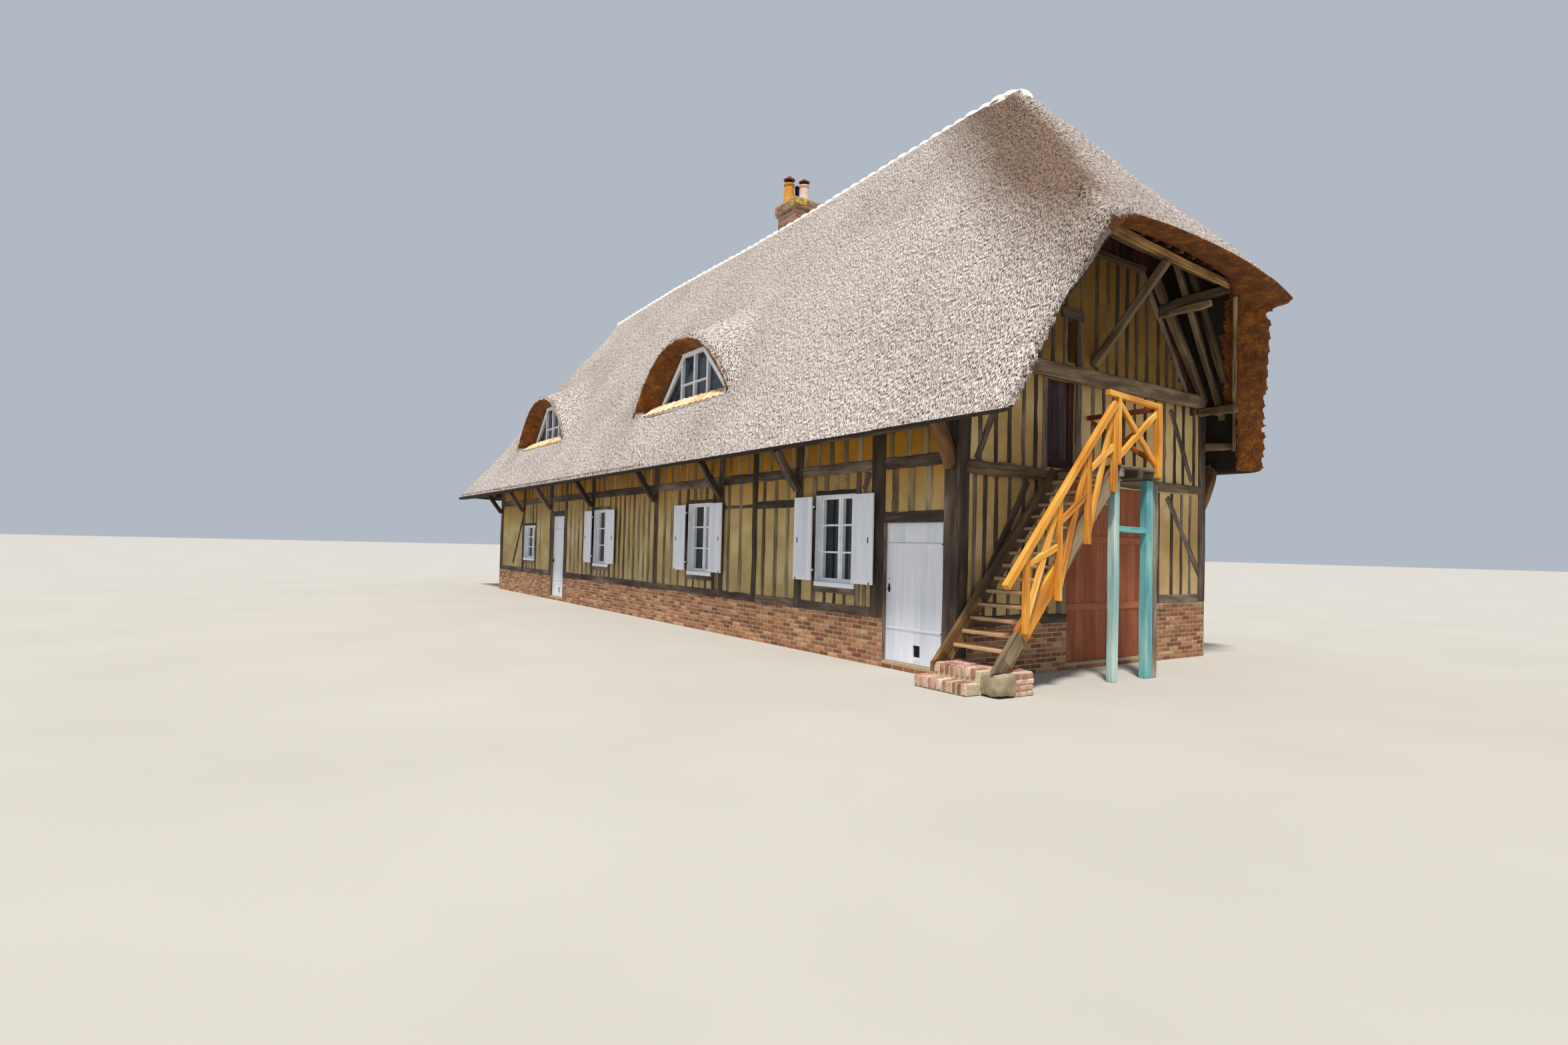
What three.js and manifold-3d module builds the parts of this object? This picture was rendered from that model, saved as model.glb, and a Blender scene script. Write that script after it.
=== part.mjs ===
// Thatched half-timbered cottage with an outside stair at its gable.
// Millimetres, +Z up. Inside the house group x = 0 is the gable face, y = 0 the front face,
// and z = 0 the door threshold. The group then puts the origin under the middle of the house.
import * as THREE from 'three';
import { mergeVertices } from 'three/addons/utils/BufferGeometryUtils.js';
import Module from 'manifold-3d';

const wasm = await Module();
wasm.setup();

// Driving dimensions of the body
const GAP = 0.3;
const HOUSE_LENGTH = 21400;
const HOUSE_DEPTH = 6000;
const WALL = 200;
const TIMBER = 30;
const BASE = -100;
const PLINTH_TOP = 600;
const GABLE_PLINTH_TOP = 820;
const UPPER_FLOOR_TOP = 2780;
const UPPER_FLOOR_THICKNESS = 160;

// Driving dimensions of the roof
const RIDGE_Z = 9400;
const SIDE_PITCH = 1.6;
const HALF_HIP_PITCH = 1.13;
const HALF_HIP_APEX_X = -1800;
const LEFT_HIP_PITCH = 1.2574;
const LEFT_HIP_APEX_X = -18600;
const THATCH = 340;
const EAVE_Z = 3050;
const VERGE_X = 1650;
const HALF_HIP_EAVE_Z = RIDGE_Z - HALF_HIP_PITCH * (VERGE_X - HALF_HIP_APEX_X);
// The verge is cut back under its outer edge by as much as the level cut of the half-hip takes
const VERGE_UNDERCUT = THATCH * Math.hypot(1, HALF_HIP_PITCH) / HALF_HIP_PITCH;
const HIP_ROUND = 1000;
// The back verge leans inward as it comes down
const BACK_VERGE = { reach: -421, lean: 0.317 };

// Openings of the front wall, x from and to
const FRONT_DOOR = { x0: -1434, x1: -249, head: 1965 };
const LEFT_DOOR = { x0: -15960, x1: -14920, head: 2320 };
const WINDOW_SILL = 970;
const WINDOW_HEAD = 2410;
const WINDOWS = [
  { name: 'right', x0: -3075, x1: -2075, head: WINDOW_HEAD },
  { name: 'middle', x0: -7450, x1: -6450, head: WINDOW_HEAD },
  { name: 'left', x0: -12660, x1: -11660, head: WINDOW_HEAD },
  { name: 'far_left', x0: -18650, x1: -17550, head: 2060 },
];
const BACK_WINDOWS = [
  { name: 'back_right', x0: -5600, x1: -4600, head: WINDOW_HEAD },
  { name: 'back_left', x0: -15400, x1: -14400, head: WINDOW_HEAD },
];
const UPPER_DOOR = { y0: 1760, y1: 2420, z0: 2800, z1: 4080 };
const BARN_DOOR = { y0: 2250, y1: 4500, z1: 2600 };
const LOFT_HOLE = { y0: 2200, y1: 2400, z0: 4370, z1: 5000 };

// Dormers in the front slope
const DORMER_XS = { left: -17170, right: -7950 };
const DORMER = { sill: 4500, front: -120, window: 300, half: 2250, rise: 1440, back: 2300, lift: 0.5 };
const DORMER_WINDOW = { foot: 1740, top: 600, height: 1230, depth: 70 };
const DORMER_SILL = { half: 1670, out: 40, thickness: 60 };

function material(color, roughness, metalness = 0) {
  return new THREE.MeshStandardMaterial({ color, roughness, metalness });
}
const paint = {
  thatch: material(0xa89a8c, 1.0),
  timber: material(0x5b4a3d, 0.9),
  daub: material(0xd9c58f, 0.95),
  brick: material(0x9a5a48, 0.95),
  floor: material(0x8a6a4a, 0.9),
  white: material(0xe4e8f2, 0.6),
  glass: material(0x6f7f88, 0.1),
  orange: material(0xe39a2c, 0.6),
  tread: material(0xa5632e, 0.8),
  grey: material(0x7a6a5c, 0.9),
  blue: material(0x6fb3b6, 0.7),
  terracotta: material(0xa9532f, 0.8),
  tile: material(0xf0dcb4, 0.9),
  pot: material(0xe0a347, 0.8),
  plum: material(0x4c3a3c, 0.8),
};

// Solids from three.js geometry
function solid(geometry) {
  const plain = geometry.clone();
  plain.deleteAttribute('normal');
  plain.deleteAttribute('uv');
  const merged = mergeVertices(plain, 1e-3);
  return new wasm.Manifold(new wasm.Mesh({
    numProp: 3,
    vertProperties: new Float32Array(merged.attributes.position.array),
    triVerts: new Uint32Array(merged.index.array),
  }));
}

function geometryOf(body) {
  const mesh = body.getMesh();
  const geometry = new THREE.BufferGeometry();
  geometry.setAttribute('position', new THREE.BufferAttribute(new Float32Array(mesh.vertProperties), 3));
  geometry.setIndex(new THREE.BufferAttribute(new Uint32Array(mesh.triVerts), 1));
  geometry.computeVertexNormals();
  return geometry;
}

function boxGeometry(x0, x1, y0, y1, z0, z1) {
  const geometry = new THREE.BoxGeometry(x1 - x0, y1 - y0, z1 - z0);
  geometry.translate((x0 + x1) / 2, (y0 + y1) / 2, (z0 + z1) / 2);
  return geometry;
}

function box(x0, x1, y0, y1, z0, z1) {
  return solid(boxGeometry(x0, x1, y0, y1, z0, z1));
}

// A squared timber from a to b, wide across and deep along the up direction
function beam(a, b, wide, deep, up = new THREE.Vector3(0, 0, 1)) {
  const from = new THREE.Vector3(...a);
  const to = new THREE.Vector3(...b);
  const along = to.clone().sub(from);
  const side = new THREE.Vector3().crossVectors(up, along).normalize();
  const top = new THREE.Vector3().crossVectors(along, side).normalize();
  const geometry = new THREE.BoxGeometry(along.length(), wide, deep);
  const middle = from.add(to).multiplyScalar(0.5);
  const turn = new THREE.Matrix4().makeBasis(along.clone().normalize(), side, top);
  geometry.applyMatrix4(turn.setPosition(middle));
  return solid(geometry);
}

function rod(x, y, z0, z1, radius, sides = 8) {
  const geometry = new THREE.CylinderGeometry(radius, radius, z1 - z0, sides);
  geometry.rotateX(Math.PI / 2);
  geometry.translate(x, y, (z0 + z1) / 2);
  return solid(geometry);
}

function join(pieces) {
  return pieces.reduce((whole, piece) => whole.add(piece));
}

function cut(whole, pieces) {
  return pieces.reduce((rest, piece) => rest.subtract(piece), whole);
}

const house = new THREE.Group();
house.position.set((HOUSE_LENGTH + 600) / 2, -HOUSE_DEPTH / 2, -BASE);

function place(name, shape, look, at = [0, 0, 0]) {
  const geometry = shape instanceof THREE.BufferGeometry ? shape : geometryOf(shape);
  const mesh = new THREE.Mesh(geometry, look);
  mesh.name = name;
  mesh.position.set(...at);
  house.add(mesh);
}

// Roof slopes as planes: unit normal and distance of the thatch's outer face
function slope(nx, ny, constant) {
  const length = Math.hypot(nx, ny, 1);
  return { normal: [nx / length, ny / length, 1 / length], offset: constant / length };
}
const SLOPES = {
  front: slope(0, -SIDE_PITCH, RIDGE_Z - SIDE_PITCH * HOUSE_DEPTH / 2),
  back: slope(0, SIDE_PITCH, RIDGE_Z + SIDE_PITCH * HOUSE_DEPTH / 2),
  right: slope(HALF_HIP_PITCH, 0, RIDGE_Z + HALF_HIP_PITCH * HALF_HIP_APEX_X),
  left: slope(-LEFT_HIP_PITCH, 0, RIDGE_Z - LEFT_HIP_PITCH * LEFT_HIP_APEX_X),
};

function keepAbove(body, vector, offset) {
  const length = Math.hypot(...vector);
  return body.trimByPlane(vector.map((v) => v / length), offset / length);
}

// What is left of a body under the thatch
function underThatch(body, gap = GAP) {
  let rest = body;
  for (const { normal, offset } of Object.values(SLOPES)) {
    rest = keepAbove(rest, normal.map((v) => -v), -(offset - THATCH - gap));
  }
  return rest;
}

// Planes that touch a round of radius HIP_ROUND between two slopes
function roundHip(body, one, two) {
  const angle = Math.acos(one.normal.reduce((sum, v, axis) => sum + v * two.normal[axis], 0));
  return [0.3, 0.7].reduce((rest, share) => {
    const a = Math.sin((1 - share) * angle) / Math.sin(angle);
    const b = Math.sin(share * angle) / Math.sin(angle);
    const normal = one.normal.map((v, axis) => a * v + b * two.normal[axis]);
    const offset = a * (one.offset - HIP_ROUND) + b * (two.offset - HIP_ROUND) + HIP_ROUND;
    return keepAbove(rest, normal.map((v) => -v), -offset);
  }, body);
}

function thatchSlope(name, low = EAVE_Z) {
  const own = SLOPES[name];
  let body = box(-26000, 4000, -3000, 9000, low, 12000);
  body = keepAbove(body, own.normal.map((v) => -v), -own.offset);
  body = keepAbove(body, own.normal, own.offset - THATCH);
  for (const [other, next] of Object.entries(SLOPES)) {
    if (other === name) continue;
    const mitre = own.normal.map((v, axis) => v - next.normal[axis]);
    const length = Math.hypot(...mitre);
    body = keepAbove(body, mitre, own.offset - next.offset + GAP * length);
    const isHip = ['left', 'right'].includes(name) !== ['left', 'right'].includes(other);
    if (isHip) body = roundHip(body, own, next);
  }
  return body;
}

// Keeps what lies within reach of the gable, less the deeper it is in the thatch
function cutVerge(body, { normal: [, ny, nz], offset }, reach, lean = 0) {
  const back = VERGE_UNDERCUT / THATCH;
  return keepAbove(body, [-1, back * ny, lean + back * nz], back * offset - reach);
}

// Dormer arch: an eyebrow outline of half width w and height h
function archShape(half, height, foot, steps = 14) {
  const shape = new THREE.Shape();
  shape.moveTo(-half, -foot);
  for (let i = 0; i <= steps; i += 1) {
    const u = -Math.cos(Math.PI * i / steps);
    shape.lineTo(half * u, height * (1 - Math.abs(u) ** 2.4));
  }
  shape.lineTo(half, -foot);
  return shape;
}

function windowShape(grow) {
  const shape = new THREE.Shape();
  shape.moveTo(-DORMER_WINDOW.foot - grow, -grow);
  shape.lineTo(DORMER_WINDOW.foot + grow, -grow);
  shape.lineTo(DORMER_WINDOW.top + grow, DORMER_WINDOW.height + grow);
  shape.lineTo(-DORMER_WINDOW.top - grow, DORMER_WINDOW.height + grow);
  return shape;
}

// An outline in x and z, pushed back along y, rising by lift for each millimetre
function pushBack(shape, depth, lift = 0) {
  const geometry = new THREE.ExtrudeGeometry(shape, { depth, bevelEnabled: false, steps: 1 });
  geometry.applyMatrix4(new THREE.Matrix4().set(
    1, 0, 0, 0,
    0, 0, 1, 0,
    0, 1, lift, 0,
    0, 0, 0, 1,
  ));
  geometry.index = null;
  const position = geometry.attributes.position;
  for (let i = 0; i < position.count; i += 3) {
    const second = [position.getX(i + 1), position.getY(i + 1), position.getZ(i + 1)];
    position.setXYZ(i + 1, position.getX(i + 2), position.getY(i + 2), position.getZ(i + 2));
    position.setXYZ(i + 2, ...second);
  }
  return geometry;
}

function dormerHood(x) {
  const hood = solid(pushBack(archShape(DORMER.half, DORMER.rise, 200), DORMER.back, DORMER.lift));
  const placed = hood.translate([x, DORMER.front, DORMER.sill]);
  const own = SLOPES.front;
  return keepAbove(placed, own.normal, own.offset - THATCH);
}

function dormerOpening(x) {
  const through = solid(pushBack(windowShape(GAP), DORMER.back)).translate([x, DORMER.front - 500, DORMER.sill]);
  const reach = DORMER.window - DORMER.front + 100;
  const geometry = pushBack(archShape(DORMER.half - 60, DORMER.rise - 60, 0), reach);
  const position = geometry.attributes.position;
  for (let i = 0; i < position.count; i += 1) {
    const inward = position.getY(i) / reach;
    position.setX(i, position.getX(i) * (1 - 0.18 * inward));
    position.setZ(i, position.getZ(i) * (1 - 0.10 * inward));
  }
  const splay = solid(geometry).translate([x, DORMER.front - 100, DORMER.sill]);
  return through.add(splay);
}

function roof() {
  const hoods = Object.values(DORMER_XS).map(dormerHood);
  const openings = Object.values(DORMER_XS).map(dormerOpening);
  const front = cutVerge(thatchSlope('front'), SLOPES.front, VERGE_X);
  place('thatch_front', cut(join([front, ...hoods]), openings), paint.thatch);
  place('thatch_left_hip', thatchSlope('left'), paint.thatch);
  place('thatch_half_hip', thatchSlope('right', HALF_HIP_EAVE_Z), paint.thatch);
  const leaning = cutVerge(thatchSlope('back'), SLOPES.back, BACK_VERGE.reach, BACK_VERGE.lean);
  const back = cutVerge(leaning, SLOPES.back, VERGE_X);
  place('thatch_back', cut(back, [chimneyShaft(CHIMNEY.clearance)]), paint.thatch);
}

// Chimney behind the ridge, from the upper floor through the thatch
const CHIMNEY = { x0: -9380, x1: -8620, y0: 3310, y1: 3990, cap: 9900, top: 10110, clearance: 10 };
const POTS = {
  left: { x: -9180, y: 3480, wide: 1, tall: 1.25 },
  right: { x: -8870, y: 3720, wide: 0.95, tall: 1.05 },
};
function chimneyShaft(grow) {
  return box(CHIMNEY.x0 - grow, CHIMNEY.x1 + grow, CHIMNEY.y0 - grow, CHIMNEY.y1 + grow,
    UPPER_FLOOR_TOP + GAP, CHIMNEY.cap);
}

function chimney() {
  const steps = [[30, 9810, 9880], [60, 9880, CHIMNEY.top]];
  const courses = steps.map(([out, z0, z1]) => box(CHIMNEY.x0 - out, CHIMNEY.x1 + out,
    CHIMNEY.y0 - out, CHIMNEY.y1 + out, z0, z1));
  place('chimney', join([chimneyShaft(0), ...courses]), paint.brick);
  const profile = [[0, 0], [150, 0], [130, 50], [115, 400], [135, 415], [135, 450], [70, 460], [70, 490],
    [145, 500], [140, 560], [90, 595], [0, 600]].map(([r, z]) => new THREE.Vector2(r, z));
  for (const [side, { x, y, wide, tall }] of Object.entries(POTS)) {
    const pot = new THREE.LatheGeometry(profile, 12);
    pot.rotateX(Math.PI / 2);
    pot.scale(wide, wide, tall);
    place(`chimney_pot_${side}`, pot, side === 'left' ? paint.pot : paint.tile, [x, y, CHIMNEY.top + GAP]);
  }
}

function ridge() {
  const profile = new THREE.Shape();
  profile.moveTo(-150, -150 * SIDE_PITCH + 40);
  profile.lineTo(0, 40);
  profile.lineTo(150, -150 * SIDE_PITCH + 40);
  profile.lineTo(130, -60);
  profile.lineTo(70, 100);
  profile.lineTo(0, 130);
  profile.lineTo(-70, 100);
  profile.lineTo(-130, -60);
  const body = new THREE.ExtrudeGeometry(profile, {
    depth: HALF_HIP_APEX_X - LEFT_HIP_APEX_X, bevelEnabled: false, steps: 1,
  });
  body.rotateX(Math.PI / 2);
  body.rotateZ(Math.PI / 2);
  body.translate(LEFT_HIP_APEX_X, HOUSE_DEPTH / 2, RIDGE_Z - 40 + 1);
  place('ridge_tiles', body, paint.tile);
}

// Timber lattices lie in front of a wall slab: members are given as flat boxes
function studs(from, to, count, low, high, width = 90) {
  const pitch = (to - from) / (count + 1);
  return Array.from({ length: count }, (_, i) => {
    const middle = from + pitch * (i + 1);
    return [middle - width / 2, middle + width / 2, low, high];
  });
}

const GIRT = [2720, 2885];
const SILL_BEAM = [PLINTH_TOP, 740];
const WALL_TOP = 4200;

function frontMembers() {
  const posts = [
    [-270, 0], [-1720, FRONT_DOOR.x0], [-3640, -3440], [-6200, -6000], [-9080, -8880],
    [-12860, -12660], [LEFT_DOOR.x1, -14720], [-16160, LEFT_DOOR.x0], [-18850, -18650], [-21400, -21130],
  ].map(([a, b]) => [a, b, PLINTH_TOP, WALL_TOP]);
  const rails = [
    [-HOUSE_LENGTH, 0, ...GIRT],
    [-HOUSE_LENGTH, LEFT_DOOR.x0 - 10, ...SILL_BEAM],
    [LEFT_DOOR.x1, FRONT_DOOR.x0 - 10, ...SILL_BEAM],
    [FRONT_DOOR.x0 - 20, -200, FRONT_DOOR.head, 2120],
    [LEFT_DOOR.x0 - 20, LEFT_DOOR.x1 + 20, LEFT_DOOR.head, 2460],
    [-6000, -3640, 2250, 2360],
  ];
  const around = WINDOWS.flatMap(({ x0, x1, head }) => [
    [x0 - 110, x0, SILL_BEAM[0], GIRT[1]],
    [x1, x1 + 110, SILL_BEAM[0], GIRT[1]],
    [x0 - 20, x1 + 20, head, head + 100],
    [x0 - 20, x1 + 20, WINDOW_SILL - 110, WINDOW_SILL],
    ...studs(x0, x1, 3, head + 50, GIRT[1]),
    ...studs(x0, x1, 3, SILL_BEAM[0], WINDOW_SILL - 50),
  ]);
  const filling = [
    ...studs(-6000, -3640, 6, SILL_BEAM[0], GIRT[1]),
    ...studs(-8880, -7560, 3, SILL_BEAM[0], GIRT[1]),
    ...studs(-11550, -9080, 8, SILL_BEAM[0], GIRT[1]),
    ...studs(-14720, -12860, 5, SILL_BEAM[0], GIRT[1]),
    ...studs(LEFT_DOOR.x0, LEFT_DOOR.x1, 3, 2400, GIRT[1]),
    ...studs(FRONT_DOOR.x0, -270, 3, 2060, GIRT[1]),
    ...studs(-17440, -16160, 3, SILL_BEAM[0], GIRT[1]),
    ...studs(-18650, -1500, 48, GIRT[0], WALL_TOP, 100),
  ];
  return [...posts, ...rails, ...around, ...filling];
}

// Iron pins that carry the shutters stand on short arms in front of the timbers
const PIN = { radius: 5, eye: 6, out: 47.5, arm: 3, armHeight: 20, height: 60 };
const LEAF = { foot: 1055, top: 2391, width: 482, edge: 8, front: -85, thickness: 35 };
const PIN_ZS = [LEAF.foot + 130, LEAF.top - 200];
const SHUTTERED = WINDOWS.slice(0, 3);

function shutterPins() {
  return SHUTTERED.flatMap(({ x0, x1 }) => [x0, x1].flatMap((x) => PIN_ZS.flatMap((z) => [
    box(x - PIN.arm, x + PIN.arm, -PIN.out - PIN.arm, 5, z, z + PIN.armHeight),
    rod(x, -PIN.out, z + 1, z + PIN.height, PIN.radius),
  ])));
}

function lattice(members, toBox) {
  return join(members.map((member) => toBox(...member)));
}

function facing(openings) {
  return openings.map(({ x0, x1, head }) => box(x0, x1, -50, 400, WINDOW_SILL, head));
}

function frontTimbers() {
  const doors = [FRONT_DOOR, LEFT_DOOR].map(({ x0, x1, head }) => box(x0, x1, -50, 400, BASE, head));
  const flat = lattice(frontMembers(), (a, b, low, high) => box(a, b, 0, TIMBER - GAP, low, high));
  const corner = box(-TIMBER, 10, -10, TIMBER + 10, BASE, WALL_TOP);
  const trimmed = underThatch(cut(flat, [...facing(WINDOWS), ...doors, corner]));
  const braces = cut(beam([-18700, 15, 2600], [-19900, 15, 800], TIMBER - 2, 110),
    [box(-25000, -10000, TIMBER / 2 + 10, 100, 0, 4000)]);
  place('front_timbers', join([trimmed, braces, ...shutterPins()]), paint.timber);
}

function backMembers() {
  const bays = 8;
  const pitch = (HOUSE_LENGTH - 200) / bays;
  const posts = Array.from({ length: bays + 1 }, (_, i) => {
    const x = -HOUSE_LENGTH + i * pitch;
    return [x, x + 200, PLINTH_TOP, WALL_TOP];
  });
  const rails = [[-HOUSE_LENGTH, 0, ...GIRT], [-HOUSE_LENGTH, 0, ...SILL_BEAM]];
  const around = BACK_WINDOWS.flatMap(({ x0, x1, head }) => [
    [x0 - 110, x0, SILL_BEAM[0], GIRT[1]],
    [x1, x1 + 110, SILL_BEAM[0], GIRT[1]],
    [x0 - 20, x1 + 20, head, head + 100],
    [x0 - 20, x1 + 20, WINDOW_SILL - 110, WINDOW_SILL],
  ]);
  return [...posts, ...rails, ...around, ...studs(-HOUSE_LENGTH, 0, 55, SILL_BEAM[0], WALL_TOP, 90)];
}

function backTimbers() {
  const y0 = HOUSE_DEPTH - TIMBER + GAP;
  const flat = lattice(backMembers(), (a, b, low, high) => box(a, b, y0, HOUSE_DEPTH, low, high));
  const holes = BACK_WINDOWS.map(({ x0, x1, head }) => box(x0, x1, y0 - 50, y0 + 100, WINDOW_SILL, head));
  const corner = box(-TIMBER, 10, y0 - 10, y0 + 100, BASE, WALL_TOP);
  place('back_timbers', underThatch(cut(flat, [...holes, corner])), paint.timber);
}

function leftTimbers() {
  const members = [
    [TIMBER, 200, PLINTH_TOP, WALL_TOP], [HOUSE_DEPTH - 200, HOUSE_DEPTH - TIMBER, PLINTH_TOP, WALL_TOP],
    [2900, 3100, PLINTH_TOP, WALL_TOP],
    [TIMBER, HOUSE_DEPTH - TIMBER, ...GIRT], [TIMBER, HOUSE_DEPTH - TIMBER, ...SILL_BEAM],
    ...studs(100, HOUSE_DEPTH - 100, 15, SILL_BEAM[0], WALL_TOP),
  ];
  const x0 = -HOUSE_LENGTH;
  const flat = lattice(members, (a, b, low, high) => box(x0, x0 + TIMBER - GAP, a, b, low, high));
  const inner = [box(x0 - 10, x0 + 100, -10, TIMBER, 0, 5000), box(x0 - 10, x0 + 100, HOUSE_DEPTH - TIMBER, 7000, 0, 5000)];
  place('left_timbers', underThatch(cut(flat, inner)), paint.timber);
}

// The gable's timbers, given in y and z
const LOWER_GIRT = [2604, 2767];
const TIE_BEAM = [4086, 4310];
const COLLAR = [6050, 6200];

function gableTimbers() {
  const members = [
    [0, 190, PLINTH_TOP, WALL_TOP], [5800, HOUSE_DEPTH, GABLE_PLINTH_TOP, WALL_TOP],
    [0, HOUSE_DEPTH, ...LOWER_GIRT], [100, 5850, ...TIE_BEAM], [1500, 4200, ...COLLAR],
    [0, 2300, ...SILL_BEAM], [4400, HOUSE_DEPTH, GABLE_PLINTH_TOP, 950],
    [UPPER_DOOR.y0 - 100, UPPER_DOOR.y0, LOWER_GIRT[0], TIE_BEAM[1]],
    [UPPER_DOOR.y1, UPPER_DOOR.y1 + 120, LOWER_GIRT[0], TIE_BEAM[1]],
    [LOFT_HOLE.y0 - 90, LOFT_HOLE.y0, TIE_BEAM[0], 5150], [LOFT_HOLE.y1, LOFT_HOLE.y1 + 110, TIE_BEAM[0], 5150],
    [LOFT_HOLE.y0 - 90, LOFT_HOLE.y1 + 150, LOFT_HOLE.z1, 5150],
    ...studs(190, UPPER_DOOR.y0 - 100, 5, SILL_BEAM[0], TIE_BEAM[1], 80),
    ...studs(UPPER_DOOR.y1 + 120, 5800, 10, LOWER_GIRT[0], TIE_BEAM[1], 80),
    ...studs(4500, 5800, 4, GABLE_PLINTH_TOP, LOWER_GIRT[1], 80),
    [BARN_DOOR.y0 - 120, BARN_DOOR.y0, PLINTH_TOP, LOWER_GIRT[1]],
    [BARN_DOOR.y1, BARN_DOOR.y1 + 120, GABLE_PLINTH_TOP, LOWER_GIRT[1]],
    ...studs(600, 5400, 16, TIE_BEAM[0], COLLAR[1], 90),
  ];
  const flat = lattice(members, (a, b, low, high) => box(-TIMBER + GAP, 0, a, b, low, high));
  const middle = -TIMBER / 2;
  const deep = TIMBER - 2;
  const across = new THREE.Vector3(1, 0, 0);
  const slants = [
    [[450, 1100], [1370, 2650]], [[330, 2820], [980, 4150]],
    [[4920, 3920], [5590, 2840]], [[4850, 2530], [5880, 1230]],
    [[5380, 4330], [3950, 6230]], [[620, 4330], [2050, 6230]],
  ].map(([[ya, za], [yb, zb]]) => beam([middle, ya, za], [middle, yb, zb], 110, deep, across));
  const holes = [
    box(-500, 100, UPPER_DOOR.y0, UPPER_DOOR.y1, UPPER_DOOR.z0, UPPER_DOOR.z1),
    box(-500, 100, LOFT_HOLE.y0, LOFT_HOLE.y1, LOFT_HOLE.z0, LOFT_HOLE.z1),
    box(-500, 100, BARN_DOOR.y0, BARN_DOOR.y1, BASE, BARN_DOOR.z1),
  ];
  place('gable_timbers', underThatch(cut(join([flat, ...slants]), holes)), paint.timber);
}

// Wall slabs of daub between the timbers and the rooms
function walls() {
  const inner = (x0, x1, low, y0 = TIMBER, y1 = WALL) => box(x0, x1, y0, y1, low, WALL_TOP + 500);
  const z0 = PLINTH_TOP + GAP;
  const inset = -HOUSE_LENGTH + WALL + GAP;
  const front = cut(inner(LEFT_DOOR.x1, FRONT_DOOR.x0, z0), facing(WINDOWS));
  place('front_wall', join([underThatch(front), ...doorPins(LEFT_DOOR.x1)]), paint.daub);
  const farLeft = cut(inner(inset, LEFT_DOOR.x0, z0), facing(WINDOWS));
  place('front_wall_left', underThatch(farLeft), paint.daub);
  place('wall_over_front_door', underThatch(inner(FRONT_DOOR.x0 + GAP, FRONT_DOOR.x1 - GAP, FRONT_DOOR.head)),
    paint.daub);
  place('wall_over_left_door', underThatch(inner(LEFT_DOOR.x0 + GAP, LEFT_DOOR.x1 - GAP, LEFT_DOOR.head)),
    paint.daub);
  const y1 = HOUSE_DEPTH - TIMBER;
  const backHoles = BACK_WINDOWS.map(({ x0, x1, head }) => box(x0, x1, 5000, 7000, WINDOW_SILL, head));
  const back = inner(inset, -WALL - GAP, z0, HOUSE_DEPTH - WALL, y1);
  place('back_wall', underThatch(cut(back, backHoles)), paint.daub);
  const left = box(-HOUSE_LENGTH + TIMBER, -HOUSE_LENGTH + WALL, TIMBER, y1, z0, 5000);
  place('left_wall', underThatch(left), paint.daub);
  const gable = box(-WALL, -TIMBER, TIMBER, y1, z0, 8000);
  const post = box(FRONT_DOOR.x1, -WALL, TIMBER, WALL, z0, WALL_TOP + 500);
  const holes = [
    box(-500, 100, UPPER_DOOR.y0, UPPER_DOOR.y1, UPPER_DOOR.z0, UPPER_DOOR.z1),
    box(-500, 100, LOFT_HOLE.y0, LOFT_HOLE.y1, LOFT_HOLE.z0, LOFT_HOLE.z1),
    box(-500, 100, BARN_DOOR.y0, BARN_DOOR.y1, BASE, BARN_DOOR.z1),
    box(-500, 100, BARN_DOOR.y1 - 10, HOUSE_DEPTH, 0, GABLE_PLINTH_TOP + GAP),
  ];
  const whole = underThatch(cut(join([gable, post]), holes));
  place('gable_wall', join([whole, ...doorPins(FRONT_DOOR.x1)]), paint.daub);
}

// Brick plinth: one ring that runs under the doors
function plinth() {
  const ring = cut(box(-HOUSE_LENGTH, 0, 0, HOUSE_DEPTH, BASE, PLINTH_TOP - GAP),
    [box(-HOUSE_LENGTH + WALL + 20, -WALL - 20, WALL + 20, HOUSE_DEPTH - WALL - 20, BASE - 10, 2000)]);
  const raised = box(-WALL - 20, 0, BARN_DOOR.y1, HOUSE_DEPTH, 400, GABLE_PLINTH_TOP);
  const clear = box(-WALL - 30, 10, HOUSE_DEPTH - TIMBER, HOUSE_DEPTH + 10, PLINTH_TOP - GAP, 2000);
  const holes = [
    box(FRONT_DOOR.x0, FRONT_DOOR.x1, -50, 400, 0, 2000),
    box(LEFT_DOOR.x0, LEFT_DOOR.x1, -50, 400, 0, 2000),
    box(-500, 50, BARN_DOOR.y0, BARN_DOOR.y1, 0, 2000),
  ];
  const backCorner = box(-WALL - 60, -WALL, HOUSE_DEPTH - WALL - 30, HOUSE_DEPTH, PLINTH_TOP - GAP, 2000);
  place('brick_plinth', cut(join([ring, raised]), [...holes, clear, backCorner]), paint.brick);
}

function floors() {
  const inside = [-HOUSE_LENGTH + WALL + 20 + GAP, -WALL - 20 - GAP, WALL + 20 + GAP, HOUSE_DEPTH - WALL - 20 - GAP];
  place('ground_floor', box(...inside, BASE, -5), paint.floor);
  place('upper_floor', box(-HOUSE_LENGTH + WALL + GAP, FRONT_DOOR.x1 - GAP, WALL + GAP,
    HOUSE_DEPTH - WALL - GAP, UPPER_FLOOR_TOP - UPPER_FLOOR_THICKNESS, UPPER_FLOOR_TOP), paint.floor);
}

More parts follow.
